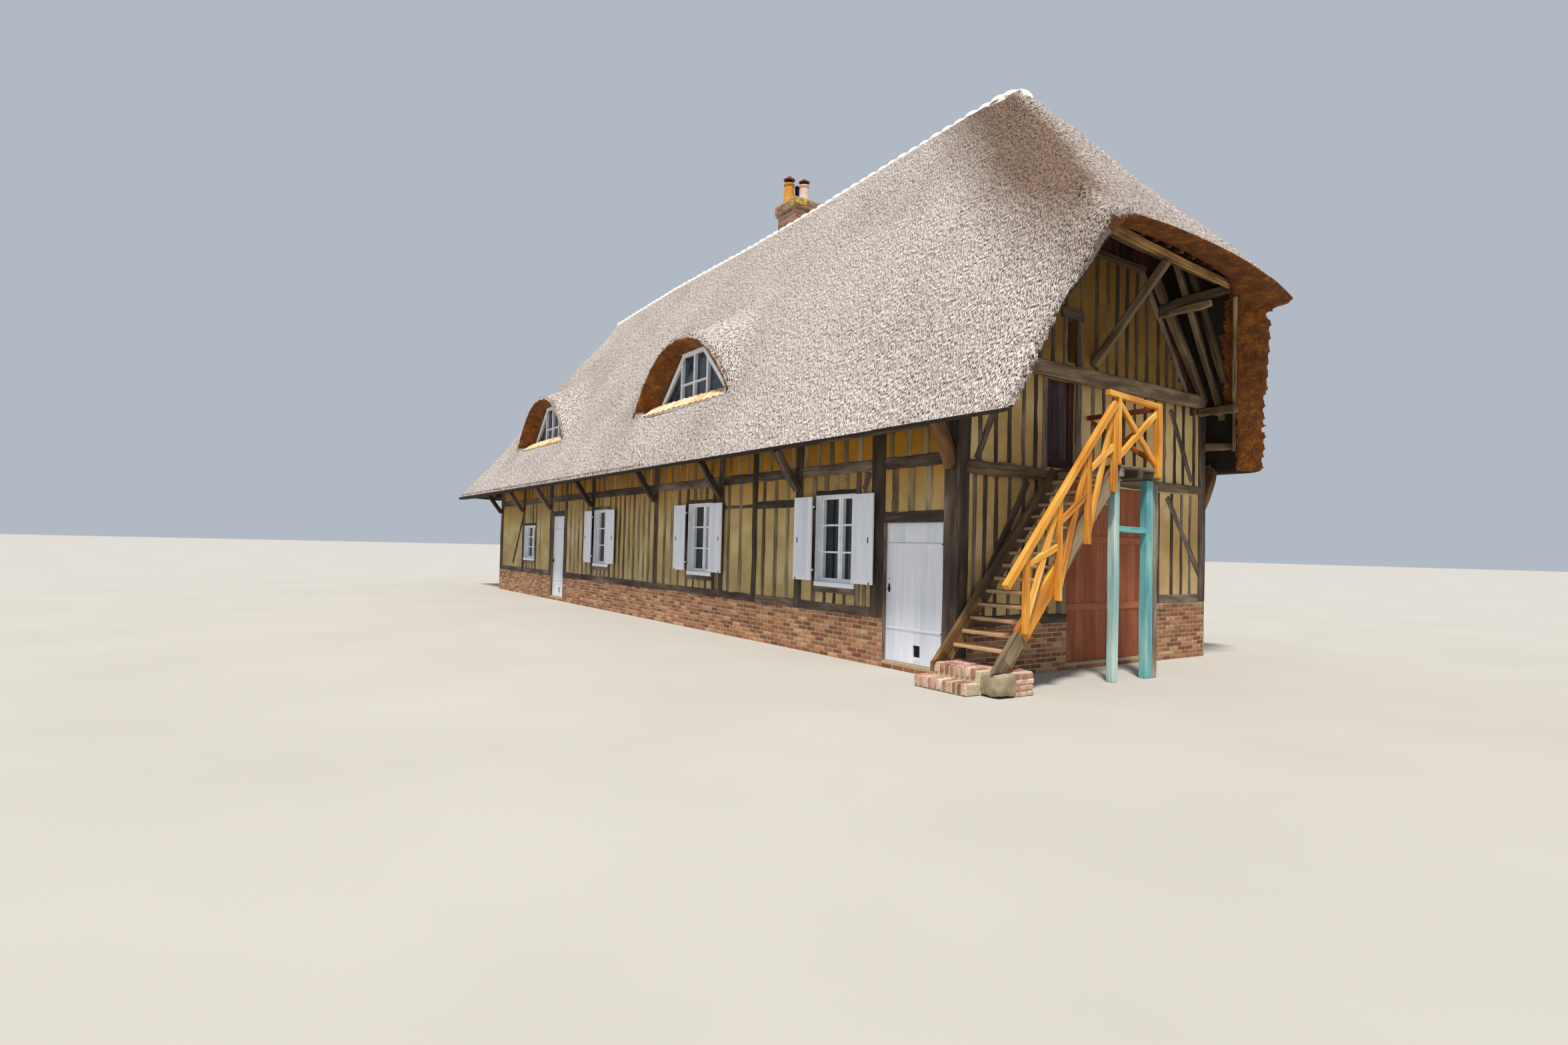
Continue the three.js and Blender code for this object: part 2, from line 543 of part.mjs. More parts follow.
// A casement window: outer frame, two casements of three panes, and a sill in front
const FRAME = { front: 110, thickness: 60, bar: 60, mullion: 110, sash: 28 };
function casement({ x0, x1, head }, wallFace, outward) {
  const width = x1 - x0 - 2 * GAP;
  const low = WINDOW_SILL + 70;
  const height = head - GAP - low;
  const y = (d) => wallFace - outward * d;
  const slab = (a, b, near, far, z0, z1) => box(a, b, Math.min(y(near), y(far)), Math.max(y(near), y(far)), z0, z1);
  const left = x0 + GAP;
  const board = slab(left, left + width, FRAME.front, FRAME.front + FRAME.thickness, low - 10, low + height);
  const paneWidth = (width - 2 * FRAME.bar - FRAME.mullion) / 2;
  const paneHeight = (height - 2 * FRAME.bar - 2 * FRAME.sash) / 3;
  const panes = [];
  for (let column = 0; column < 2; column += 1) {
    for (let row = 0; row < 3; row += 1) {
      const a = left + FRAME.bar + column * (paneWidth + FRAME.mullion);
      const z = low + FRAME.bar + row * (paneHeight + FRAME.sash);
      panes.push(slab(a, a + paneWidth, 0, 400, z, z + paneHeight));
    }
  }
  const sill = slab(left, left + width, -20, FRAME.front + FRAME.thickness, WINDOW_SILL + GAP, low);
  return join([cut(board, panes), sill]);
}

function windowGlass({ x0, x1, head }, wallFace, outward) {
  const near = wallFace - outward * (FRAME.front + FRAME.thickness + GAP);
  const far = near - outward * 8;
  return boxGeometry(x0 + 20, x1 - 20, Math.min(near, far), Math.max(near, far), WINDOW_SILL + 90, head - 20);
}

function windows() {
  for (const item of WINDOWS) {
    place(`window_${item.name}`, casement(item, 0, -1), paint.white);
    place(`glass_${item.name}`, windowGlass(item, 0, -1), paint.glass);
  }
  for (const item of BACK_WINDOWS) {
    place(`window_${item.name}`, casement(item, HOUSE_DEPTH, 1), paint.white);
    place(`glass_${item.name}`, windowGlass(item, HOUSE_DEPTH, 1), paint.glass);
  }
}

function dormerWindow() {
  const board = solid(pushBack(windowShape(0), DORMER_WINDOW.depth));
  const rail = 65;
  const opening = (points) => {
    const shape = new THREE.Shape(points.map(([x, z]) => new THREE.Vector2(x, z)));
    return solid(pushBack(shape, 400)).translate([0, -100, 0]);
  };
  const slant = (DORMER_WINDOW.foot - DORMER_WINDOW.top) / DORMER_WINDOW.height;
  const top = DORMER_WINDOW.height - rail;
  const half = DORMER_WINDOW.top;
  const panes = [];
  for (const side of [-1, 1]) {
    for (const [z0, z1] of [[rail, 540], [575, top]]) {
      const near = 35;
      panes.push(box(Math.min(side * near, side * (half - 60)), Math.max(side * near, side * (half - 60)), -100, 400, z0, z1));
    }
    const inner = half + 10;
    const foot = DORMER_WINDOW.foot - rail * (1 + slant) - 20;
    const lightTop = (foot - inner) / slant;
    const points = [[side * inner, rail], [side * foot, rail], [side * inner, rail + lightTop * 0.92]];
    panes.push(opening(side > 0 ? points : points.reverse()));
  }
  return cut(board, panes);
}

function dormers() {
  for (const [side, x] of Object.entries(DORMER_XS)) {
    place(`dormer_window_${side}`, dormerWindow(), paint.white, [x, DORMER.window, DORMER.sill]);
    const glass = pushBack(windowShape(-45), 8);
    place(`dormer_glass_${side}`, glass, paint.glass, [x, DORMER.window + DORMER_WINDOW.depth + GAP, DORMER.sill]);
    const sill = boxGeometry(-DORMER_SILL.half, DORMER_SILL.half, DORMER.front - DORMER_SILL.out,
      DORMER.window - GAP, 0, DORMER_SILL.thickness);
    place(`dormer_sill_${side}`, sill, paint.tile, [x, 0, DORMER.sill + GAP]);
  }
}

// Plank doors and shutters hang on eyes round iron pins
const EYE = { radius: 12, low: PIN.armHeight + 2, top: 52 };
function eye(x, y, z) {
  return cut(rod(x, y, z + EYE.low, z + EYE.top, EYE.radius, 12), [rod(x, y, z, z + PIN.height, PIN.eye)]);
}

const DOOR = { front: 60, thickness: 40, gap: 6, pinIn: 20, pinBack: 16 };
const DOOR_PIN_ZS = [760, 1600];
function doorPins(jamb) {
  const x = jamb - DOOR.pinIn;
  const y = DOOR.front + DOOR.thickness + DOOR.pinBack;
  return DOOR_PIN_ZS.flatMap((z) => [
    box(x - PIN.arm, jamb + 10, y - PIN.arm, y + PIN.arm, z, z + PIN.armHeight),
    rod(x, y, z + 1, z + PIN.height, PIN.radius),
  ]);
}

function plankDoor({ x0, x1, head }) {
  const leaf = box(x0 + DOOR.gap, x1 - DOOR.gap, DOOR.front, DOOR.front + DOOR.thickness, 5, head - 8);
  const flap = box(x0 + 0.42 * (x1 - x0), x0 + 0.54 * (x1 - x0), 0, 200, 105, 265);
  const x = x1 - DOOR.pinIn;
  const y = DOOR.front + DOOR.thickness + DOOR.pinBack;
  const straps = DOOR_PIN_ZS.flatMap((z) => [
    eye(x, y, z),
    box(x - 60, x - EYE.radius + 2, DOOR.front + 10, y + PIN.radius, z + EYE.low, z + EYE.top),
  ]);
  return join([cut(leaf, [flap]), ...straps]);
}

function doors() {
  place('front_door', plankDoor(FRONT_DOOR), paint.white);
  place('left_door', plankDoor(LEFT_DOOR), paint.white);
  place('upper_door', box(-120, -70, UPPER_DOOR.y0 + GAP, UPPER_DOOR.y1 - GAP, UPPER_DOOR.z0 + GAP,
    UPPER_DOOR.z1 - GAP), paint.plum);
  place('barn_doors', box(-90, -40, BARN_DOOR.y0 + GAP, BARN_DOOR.y1 - GAP, GAP, BARN_DOOR.z1 - GAP),
    paint.terracotta);
}

function shutters() {
  for (const { name, x0, x1 } of SHUTTERED) {
    for (const [side, x, way] of [['left', x0, -1], ['right', x1, 1]]) {
      const near = x + way * LEAF.edge;
      const far = near + way * LEAF.width;
      const leaf = box(Math.min(near, far), Math.max(near, far), LEAF.front, LEAF.front + LEAF.thickness,
        LEAF.foot, LEAF.top);
      const eyes = PIN_ZS.map((z) => eye(x, -PIN.out, z));
      place(`shutter_${name}_${side}`, join([leaf, ...eyes]), paint.white);
    }
  }
}

// Outer eave plates on slanting braces, round three sides
const EAVE_PLATE = { out: 480, leftOut: 1300, z: 3110, wide: 130, deep: 120, x1: -150 };
const BRACE = { foot: 2560, inset: 60, wide: 120, deep: 110 };
const BRACE_XS = [-21265, -18750, -16060, -12760, -8980, -6100, -3540, EAVE_PLATE.x1];
const LEFT_BRACE = { foot: 2000, ys: [700, 3000, 5300] };
function eaveBrackets() {
  const { out, leftOut, z, wide, deep, x1 } = EAVE_PLATE;
  const left = -HOUSE_LENGTH - leftOut;
  const inside = box(-HOUSE_LENGTH - GAP, 100, -GAP, HOUSE_DEPTH + GAP, 0, 5000);
  for (const [name, wall, plate] of [['front', 0, -out], ['back', HOUSE_DEPTH, HOUSE_DEPTH + out]]) {
    const foot = wall + Math.sign(plate - wall) * BRACE.inset;
    const braces = BRACE_XS.map((x) => beam([x, foot, BRACE.foot], [x, plate, z], BRACE.wide, BRACE.deep));
    const body = join([beam([left, plate, z], [x1, plate, z], wide, deep), ...braces]);
    place(`eave_brackets_${name}`, underThatch(cut(body, [inside])), paint.timber);
  }
  const short = out - wide / 2 - GAP;
  const plate = beam([left, -short, z], [left, HOUSE_DEPTH + short, z], wide, deep);
  const braces = LEFT_BRACE.ys.map((y) => beam([-HOUSE_LENGTH - BRACE.inset, y, LEFT_BRACE.foot],
    [left, y, z], BRACE.wide, BRACE.deep));
  place('eave_brackets_left', underThatch(cut(join([plate, ...braces]), [inside])), paint.timber);
}

// The projecting half-hip: outer plate, strut, cantilevers and the rafters at the back
function gableTruss() {
  const underside = RIDGE_Z - THATCH * Math.hypot(1, SIDE_PITCH);
  const yUnder = (z) => HOUSE_DEPTH / 2 + (underside - 100 - z) / SIDE_PITCH;
  const rafter = ([xa, low], [xb, high], wide) => beam([xa, yUnder(low), low], [xb, yUnder(high), high], wide, 110);
  const vergeX = (z) => BACK_VERGE.reach + BACK_VERGE.lean * z - VERGE_UNDERCUT - 40;
  const outerPlate = beam([1000, 1500, 5690], [1000, 4900, 5640], 150, 150);
  const strut = beam([0, 2810, 4400], [1000, 3050, 5650], 110, 120);
  const cantilevers = [
    beam([0, 4600, 5600], [1080, 4890, 5700], 110, 150),
    beam([0, 4560, 5470], [760, 4720, 5540], 100, 110),
    beam([0, 5790, 4030], [620, 5790, 4030], 120, 130),
    beam([0, 5930, 3450], [260, 6330, 3490], 110, 120),
  ];
  const rafters = [
    rafter([300, 3900], [300, 6300], 90),
    rafter([500, 4450], [500, 6100], 90),
    rafter([vergeX(3400), 3400], [vergeX(5500), 5500], 60),
    beam([70, 5830, 4180], [70, 4260, 6070], 130, 120, new THREE.Vector3(1, 0, 0)),
  ];
  const inside = box(-3000, GAP, -1000, 7000, 0, 9000);
  const body = join([outerPlate, strut, ...cantilevers, ...rafters]);
  place('gable_truss', underThatch(cut(body, [inside])), paint.grey);
}

// Stair beside the gable
const STAIR = { near: 70, far: 1050, board: 55, firstY: -170, firstZ: 420, going: 147, rise: 167, treads: 14 };
const PLATFORM = { y0: 1830, y1: 2800, x1: 1100, top: 2760, boards: 40, joist: 110 };
const HAND = { x: STAIR.far + 15 + GAP, size: 80 };

function stairFlight() {
  const yOf = (z) => STAIR.firstY + (z - STAIR.firstZ) * STAIR.going / STAIR.rise;
  const stringer = (x) => beam([x, yOf(120) - 20, 120], [x, yOf(2600), 2600], STAIR.board, 240);
  const treads = Array.from({ length: STAIR.treads }, (_, i) => {
    const y = STAIR.firstY + i * STAIR.going;
    const z = STAIR.firstZ + i * STAIR.rise;
    return box(STAIR.near + 10, STAIR.far - 10, y, y + 210, z - 40, z);
  });
  const body = join([stringer(STAIR.near + STAIR.board / 2), stringer(STAIR.far - STAIR.board / 2), ...treads]);
  const trims = [
    box(-100, 1200, -1000, 500, -500, 200 + GAP),
    box(-100, 1200, PLATFORM.y0 - GAP, 4000, 0, 5000),
  ];
  place('stair_flight', cut(body, trims), paint.tread);
}

function stairPlatform() {
  const joistTop = PLATFORM.top - PLATFORM.boards;
  const boards = box(GAP, PLATFORM.x1, PLATFORM.y0, PLATFORM.y1, joistTop - 1, PLATFORM.top);
  const joists = [0, 0.5, 1].map((t) => {
    const y = PLATFORM.y0 + 5 + t * (PLATFORM.y1 - PLATFORM.y0 - 100);
    return box(GAP, PLATFORM.x1, y, y + 90, joistTop - PLATFORM.joist, joistTop);
  });
  place('stair_platform', join([boards, ...joists]), paint.grey);
}

function platformPosts() {
  const top = PLATFORM.top - PLATFORM.boards - PLATFORM.joist - GAP;
  const posts = [
    box(900, 1010, 1860, 1970, BASE, top),
    box(900, 1010, 2600, 2750, BASE, top),
    box(915, 995, 1960, 2610, 1880, 1960),
    box(900, 1010, 2749, 2880, BASE, top - 30),
  ];
  place('platform_posts', join(posts), paint.blue);
}

function stairRail() {
  const x = HAND.x;
  const slope = (3530 - 1170) / (1680 + 380);
  const zRail = (y) => 1170 + (y + 380) * slope;
  const newels = [[0, 620], [600, 1000], [1170, 1700], [1715, 2390]];
  const pieces = [beam([x + 35, -380, 1170], [x + 35, 1700, zRail(1700)], 70, 90)];
  newels.forEach(([y, z]) => pieces.push(box(x - 15, x + 45, y - 45, y + 45, z, zRail(y) - 20)));
  for (let i = 0; i < 3; i += 1) {
    const [ya, za] = newels[i];
    const [yb, zb] = newels[i + 1];
    const zMid = (zb + zRail(yb)) / 2 + 60;
    pieces.push(beam([x + 15, ya + 40, (za + zRail(ya)) / 2 + 330], [x + 15, yb, zMid - 40], 40, 80));
    pieces.push(beam([x + 15, ya + 20, za + 170], [x + 15, yb, zRail(yb) - 60], 40, 90));
  }
  place('stair_rail', join(pieces), paint.orange);
}

function landingRail() {
  const x = HAND.x;
  const top = 3660;
  const y0 = 1765;
  const y1 = 2690;
  const low = 2760 + 5;
  const pieces = [
    beam([x + 15, y0 - 200, top + 20], [x + 15, y1 + 60, top - 40], 80, 70),
    box(x - 25, x + 55, y1 - 45, y1 + 45, 2640, top - 30),
    beam([x + 15, y0 + 45, top - 75], [x + 15, y1, low + 20], 50, 80),
    beam([x + 15, y0 + 45, low + 95], [x + 15, y1, top - 120], 50, 80),
    box(x - 25, x + 55, y0, y0 + 60, low, top),
    beam([x + 30, y1, top - 70], [GAP + 1, y1, top - 70], 50, 70),
  ];
  const deck = box(-10, PLATFORM.x1 + GAP, PLATFORM.y0 - GAP, PLATFORM.y1 + GAP, 2000, PLATFORM.top + GAP);
  place('landing_rail', cut(join(pieces), [deck, box(-100, GAP, 0, 4000, 0, 5000)]), paint.orange);
}

function stairFoot() {
  const steps = [
    box(0, 1100, -480, -60 + 200, BASE, 200),
    box(-40, 820, -700, -470, BASE, 40),
    box(760, 1120, -560, -200, BASE, 160),
  ];
  const clear = box(-100, GAP, -GAP, 500, BASE - 10, 1000);
  place('stair_foot', cut(join(steps), [clear]), paint.brick);
}

walls();
plinth();
floors();
frontTimbers();
backTimbers();
leftTimbers();
gableTimbers();
windows();
doors();
shutters();
eaveBrackets();
gableTruss();
roof();
ridge();
dormers();
chimney();
stairFlight();
stairPlatform();
platformPosts();
stairRail();
landingRail();
stairFoot();

const cottage = new THREE.Group();
cottage.add(house);
export default cottage;
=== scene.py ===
# %% [markdown]
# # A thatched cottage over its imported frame
# The long half-timbered house is already there as solids. This lesson dresses it: soft thatch,
# hewn oak, daub, brick, painted joinery and an outside stair. Sizes are metres.

# %% Load the frame
import math

import bpy
import numpy as np
from mathutils import Matrix, Vector


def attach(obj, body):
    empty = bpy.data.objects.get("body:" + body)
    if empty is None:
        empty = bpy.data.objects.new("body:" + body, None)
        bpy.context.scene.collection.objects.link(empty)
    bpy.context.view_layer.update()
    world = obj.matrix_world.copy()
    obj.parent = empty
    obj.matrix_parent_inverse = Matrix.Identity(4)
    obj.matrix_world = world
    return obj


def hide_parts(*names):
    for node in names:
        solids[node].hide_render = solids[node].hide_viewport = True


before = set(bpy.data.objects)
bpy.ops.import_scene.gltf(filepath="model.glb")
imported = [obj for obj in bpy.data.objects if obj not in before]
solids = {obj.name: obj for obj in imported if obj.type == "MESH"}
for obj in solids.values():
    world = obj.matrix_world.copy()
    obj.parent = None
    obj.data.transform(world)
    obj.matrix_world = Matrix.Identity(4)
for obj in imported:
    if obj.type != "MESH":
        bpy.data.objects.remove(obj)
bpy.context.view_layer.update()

# %% [markdown]
# House measures are easier to think in than the part's own frame: x = 0 is the gable, y = 0 the
# front and z = 0 the door threshold. One offset takes them to the frame the solids use.

# %% House measures
OFFSET = np.array((11.0, -3.0, 0.1))
LENGTH, DEPTH = 21.4, 6.0
RIDGE_Y, RIDGE_Z = 3.0, 9.4
HALF_HIP_APEX, LEFT_HIP_APEX = -1.8, -18.6
FRONT_PITCH, HALF_HIP_PITCH = 1.6, 1.13
EAVE_Z, HALF_HIP_EAVE_Z = 3.05, 5.5015
THATCH = 0.34


def in_part(points):
    """House measures to the part's frame."""
    return np.asarray(points, float) + OFFSET


print("the ridge is at", in_part((0, RIDGE_Y, RIDGE_Z)))

# %% [markdown]
# ## The picture
# The camera stands low in front of the gable corner and looks along the front, with a wide lens.

# %% Camera
CAMERA_AT, CAMERA_TURN = (18.264, -10.707, 1.674), (55.568, 1.753, 1.381)
LENS, SENSOR, FARTHEST = 18.451, 36, 500
yaw, pitch, roll = (math.radians(degrees) for degrees in CAMERA_TURN)
forward = Vector((-math.sin(yaw) * math.cos(pitch), math.cos(yaw) * math.cos(pitch), math.sin(pitch)))
level = Vector((math.cos(yaw), math.sin(yaw), 0))
above = level.cross(forward)
right = level * math.cos(roll) + above * math.sin(roll)
top = above * math.cos(roll) - level * math.sin(roll)
bpy.ops.object.camera_add()
camera = bpy.context.object
camera.name = "Camera"
camera.data.lens, camera.data.sensor_width, camera.data.clip_end = LENS, SENSOR, FARTHEST
turned = Matrix((right, top, -forward)).transposed().to_4x4()
camera.matrix_world = Matrix.Translation(CAMERA_AT) @ turned
bpy.context.scene.camera = camera
print("camera looks towards", [round(v, 3) for v in forward])

# %% [markdown]
# A pale floor, a pale world and one broad soft sun. The sun stands high over the corner of front and
# gable, so the eaves keep both walls in shade as they do outdoors, and floor and world fill that shade.

# %% Stage and light
FLOOR_SIZE, SUN_TOWARDS = 600, Vector((0.46, -0.47, 1.3))
SUN_ENERGY, SUN_SOFTNESS, SUN_COLOUR = 4.2, math.radians(7), (1.0, 0.955, 0.89)
SKY_COLOUR, SKY_STRENGTH = (0.80, 0.88, 1.0, 1), 0.55
bpy.ops.mesh.primitive_plane_add(size=FLOOR_SIZE)
floor = bpy.context.object
floor.name = "studio_floor"

bpy.ops.object.light_add(type="SUN", rotation=SUN_TOWARDS.to_track_quat("Z", "Y").to_euler())
sun = bpy.context.object
sun.data.energy, sun.data.angle, sun.data.color = SUN_ENERGY, SUN_SOFTNESS, SUN_COLOUR

world = bpy.data.worlds.new("soft studio")
bpy.context.scene.world = world
world.use_nodes = True
sky = world.node_tree.nodes["Background"].inputs
sky["Color"].default_value, sky["Strength"].default_value = SKY_COLOUR, SKY_STRENGTH
bpy.context.scene.view_settings.view_transform = "Standard"
print("sun energy", round(sun.data.energy, 1), "towards", tuple(SUN_TOWARDS))

# %% [markdown]
# ## Finishes
# Colours are written as the hex values a paint chart gives and turned to linear light. One small
# function adds any node with its settings and links. Patterns that follow a timber read two
# attributes that each copied timber carries: its own grain coordinates, and its tone from 0 to 1.


# %% Colour and node helpers
def linear(hex_colour):
    channels = [int(hex_colour[i : i + 2], 16) / 255 for i in (1, 3, 5)]
    return [c / 12.92 if c <= 0.04045 else ((c + 0.055) / 1.055) ** 2.4 for c in channels] + [1.0]


def output(value):
    """A node stands for its first output."""
    return value.outputs[0] if isinstance(value, bpy.types.Node) else value


def add(tree, kind, inputs=(), stops=None, **settings):
    """Adds a node. Inputs are values, hex colours, nodes or their sockets; stops fill a colour ramp."""
    node = tree.nodes.new("ShaderNode" + kind)
    for name, value in settings.items():
        setattr(node, name, value)
    if stops:
        ramp = node.color_ramp
        while len(ramp.elements) < len(stops):
            ramp.elements.new(0.5)
        for element, (position, colour) in zip(ramp.elements, stops):
            element.position, element.color = position, linear(colour)
    for key, value in dict(inputs).items():
        value = output(value)
        if isinstance(value, bpy.types.NodeSocket):
            tree.links.new(value, node.inputs[key])
        else:
            node.inputs[key].default_value = linear(value) if isinstance(value, str) else value
    return node


def new_finish(name, roughness, **fixed):
    finish = bpy.data.materials.new(name)
    finish.use_nodes = True
    shader = finish.node_tree.nodes["Principled BSDF"]
    shader.inputs["Roughness"].default_value = roughness
    for socket, value in fixed.items():
        shader.inputs[socket.replace("_", " ")].default_value = value
    return finish, finish.node_tree, shader


def cover(tree, shader, colour, height, distance, strength=1.0):
    """Takes a colour and a bump height in metres to the shader."""
    tree.links.new(output(colour), shader.inputs["Base Color"])
    bump = add(tree, "Bump", {"Strength": strength, "Distance": distance, "Height": height})
    tree.links.new(output(bump), shader.inputs["Normal"])


print("sample: #808080 is", round(linear("#808080")[0], 3), "in linear light")

# %% [markdown]
# Studio floor: matt pale render, with a faint mottle so that it isn't one flat colour.

# %% Floor finish
pale_floor, tree, shader = new_finish("pale matt floor", 0.95)
place = add(tree, "TexCoord").outputs["Object"]
mottle = add(tree, "TexNoise", {"Vector": place, "Scale": 0.4, "Detail": 3.0})
tint = add(tree, "ValToRGB", {0: mottle}, stops=[(0.3, "#b4b0a8"), (0.7, "#b9b5ad")])
tree.links.new(output(tint), shader.inputs["Base Color"])
floor.data.materials.append(pale_floor)
print(pale_floor.name)

# %% [markdown]
# ### Weathered water reed
# Water reed is laid with its butts outward and beaten to the slope. The sun bleaches it silver, so
# the eye sees short light and dark dashes, each the end of a reed, running down the slope. A reed
# is 6 to 8 mm thick; its dash is drawn 14 mm wide and 42 mm long, so that it shows from ten metres
# away. The hip is browner where it stays damp longer, and the hollows beside the dormers are browned
# as painted shade; an attribute of the coat tells both. The dashes are noise squeezed in x or in y
# and stretched in z, chosen by which way the slope faces.

# %% Weathered reed
REED_WIDE, REED_LONG = 0.014, 0.042
weathered_reed, tree, shader = new_finish("weathered water reed", 1.0)
place = add(tree, "TexCoord").outputs["Object"]
facing = add(tree, "SeparateXYZ", {0: add(tree, "NewGeometry").outputs["Normal"]})
sideways = add(tree, "Math", {0: facing.outputs["X"]}, operation="ABSOLUTE")
end_on = add(tree, "MapRange", {0: sideways, 1: 0.35, 2: 0.6})
dashes = []
for across in ((1 / REED_WIDE, 0, 1 / REED_LONG), (0, 1 / REED_WIDE, 1 / REED_LONG)):
    squeezed = add(tree, "Mapping", {"Vector": place, "Scale": across})
    dashes.append(add(tree, "TexNoise", {"Vector": squeezed, "Scale": 1.0, "Detail": 1.5}))
reeds = add(tree, "Mix", {0: end_on, 2: dashes[0], 3: dashes[1]})
clumps = add(tree, "TexNoise", {"Vector": place, "Scale": 14.0, "Detail": 3.0})
mixed = add(tree, "Math", {0: clumps, 1: 0.26, 2: -0.13}, operation="MULTIPLY_ADD")
speckle = add(tree, "Math", {0: reeds, 1: mixed}, operation="ADD")
silver = add(tree, "ValToRGB", {0: speckle}, stops=[
    (0.35, "#241b17"), (0.43, "#6b5e57"), (0.495, "#a99c94"), (0.56, "#d3cac3"), (0.65, "#f2ece7")])
weather = add(tree, "TexNoise", {"Vector": place, "Scale": 0.35, "Detail": 4.0, "Roughness": 0.6})
hollow = add(tree, "Attribute", attribute_name="damp_and_shade").outputs["Fac"]
patchy = add(tree, "MapRange", {0: weather, 1: 0.44, 2: 0.75, 3: 0.0, 4: 0.35})
damp_and_shade = add(tree, "Math", {0: hollow, 1: patchy}, operation="ADD", use_clamp=True)
# Browner where the hip is damp, and painted shade in the hollows beside the dormers
browned_and_shaded = add(tree, "Mix", {0: damp_and_shade, 6: silver, 7: "#9a8474"}, data_type="RGBA",
    blend_type="MULTIPLY")
cover(tree, shader, browned_and_shaded.outputs[2], reeds, 0.02, 0.8)
print("reed dashes", REED_WIDE * 1000, "by", REED_LONG * 1000, "mm")

# %% [markdown]
# ### Cut reed
# Where the thatcher's knife trims the reed, round the dormers and along the gable, no sun has
# bleached it: it is orange brown, and the eye sees thousands of stalk ends about 8 mm wide. They
# are drawn at 16 mm so that they show.

# %% Cut reed, and the shaded underside
cut_reed, tree, shader = new_finish("freshly cut reed ends", 0.9)
place = add(tree, "TexCoord").outputs["Object"]
ends = add(tree, "TexVoronoi", {"Vector": place, "Scale": 1 / 0.016}).outputs["Distance"]
bunches = add(tree, "TexNoise", {"Vector": place, "Scale": 5.0, "Detail": 8.0, "Roughness": 0.72})
depth = add(tree, "Math", {0: ends, 1: 0.3, 2: bunches}, operation="MULTIPLY_ADD")
russet = add(tree, "ValToRGB", {0: depth}, stops=[
    (0.42, "#361a02"), (0.60, "#623304"), (0.75, "#864e0a"), (0.90, "#b87a22")])
cover(tree, shader, russet, ends, 0.012, 0.7)

# The underside is near black: dark old reed, and painted shade for the overhang's deep shadow
underside_and_shade, tree, shader = new_finish("dark reed underside in painted shade", 1.0)
place = add(tree, "TexCoord").outputs["Object"]
squeezed = add(tree, "Mapping", {"Vector": place, "Scale": (60, 4, 4)})
stalks = add(tree, "TexNoise", {"Vector": squeezed, "Scale": 1.0, "Detail": 2.0})
smoked = add(tree, "ValToRGB", {0: stalks}, stops=[(0.35, "#0b0806"), (0.55, "#1a120b"), (0.75, "#342414")])
cover(tree, shader, smoked, stalks, 0.01, 0.6)
print(cut_reed.name, "and", underside_and_shade.name)

# %% [markdown]
# ### Wood
# Every wooden finish is the same idea: grain lines along the piece, a few open checks, and a tone
# of its own for each timber. Oak fibres are 1 to 2 mm apart, which is too fine to show from ten
# metres away, so the lines are drawn 11 to 14 mm apart. Paint and stain go over the grain, and the
# paint wears through where the noise is high.


# %% Wood finishes
WOOD_STEPS = {3: (0.1, 0.5, 0.9), 4: (0.1, 0.4, 0.65, 0.9)}


def wooden(name, colours, at=None, wear=None, grain=0.011, checks=0.55, roughness=0.85, height=0.004, trodden_and_lit=None):
    """Wood, or paint over it: colours from dark grain to pale, wear as (hex of bare wood, from what value)."""
    stops = list(zip(at or WOOD_STEPS[len(colours)], colours))
    finish, tree, shader = new_finish(name, roughness)
    own = add(tree, "Attribute", attribute_name="grain").outputs["Vector"]
    tone = add(tree, "Attribute", attribute_name="tone").outputs["Fac"]
    along = add(tree, "Mapping", {"Vector": own, "Scale": (1.6, 1 / grain, 1 / grain)})
    lines = add(tree, "TexNoise", {"Vector": along, "Scale": 1.0, "Detail": 3.0, "Distortion": 0.6})
    patch = add(tree, "Mapping", {"Vector": own, "Scale": (1.2, 6, 6)})
    patches = add(tree, "TexNoise", {"Vector": patch, "Scale": 1.0, "Detail": 3.0})
    shifted = add(tree, "Math", {0: tone, 1: 0.34, 2: -0.17}, operation="MULTIPLY_ADD")
    body = add(tree, "Math", {0: patches, 1: shifted}, operation="ADD")
    blend = add(tree, "Math", {0: lines, 1: 0.5, 2: body}, operation="MULTIPLY_ADD")
    value = add(tree, "MapRange", {0: blend, 1: 0.42, 2: 1.08})
    colour = add(tree, "ValToRGB", {0: value}, stops=stops)
    if wear:
        bare = add(tree, "MapRange", {0: blend, 1: wear[1], 2: wear[1] + 0.05})
        colour = add(tree, "Mix", {0: bare, 6: colour, 7: wear[0]}, data_type="RGBA").outputs[2]
    # Paler towards a tread's front edge: wear from feet, and a painted highlight where light catches it
    if trodden_and_lit:
        front = add(tree, "Attribute", attribute_name="front").outputs["Fac"]
        rubbed_and_lit = add(tree, "Math", {0: patches, 1: 0.5, 2: front}, operation="MULTIPLY_ADD")
        share = add(tree, "MapRange", {0: rubbed_and_lit, 1: 0.95, 2: 1.2})
        colour = add(tree, "Mix", {0: share, 6: colour, 7: trodden_and_lit}, data_type="RGBA").outputs[2]
    split = add(tree, "Mapping", {"Vector": own, "Scale": (0.7, 26, 26)})
    crack = add(tree, "TexNoise", {"Vector": split, "Scale": 1.0, "Detail": 2.0})
    opened = add(tree, "MapRange", {0: crack, 1: 0.30, 2: 0.37, 3: checks, 4: 0.0})
    shadow = add(tree, "Mix", {0: opened, 6: colour, 7: "#1a120c"}, data_type="RGBA").outputs[2]
    relief = add(tree, "Math", {0: opened, 1: -1.0, 2: lines}, operation="MULTIPLY_ADD")
    cover(tree, shader, shadow, relief, height, 0.8)
    return finish


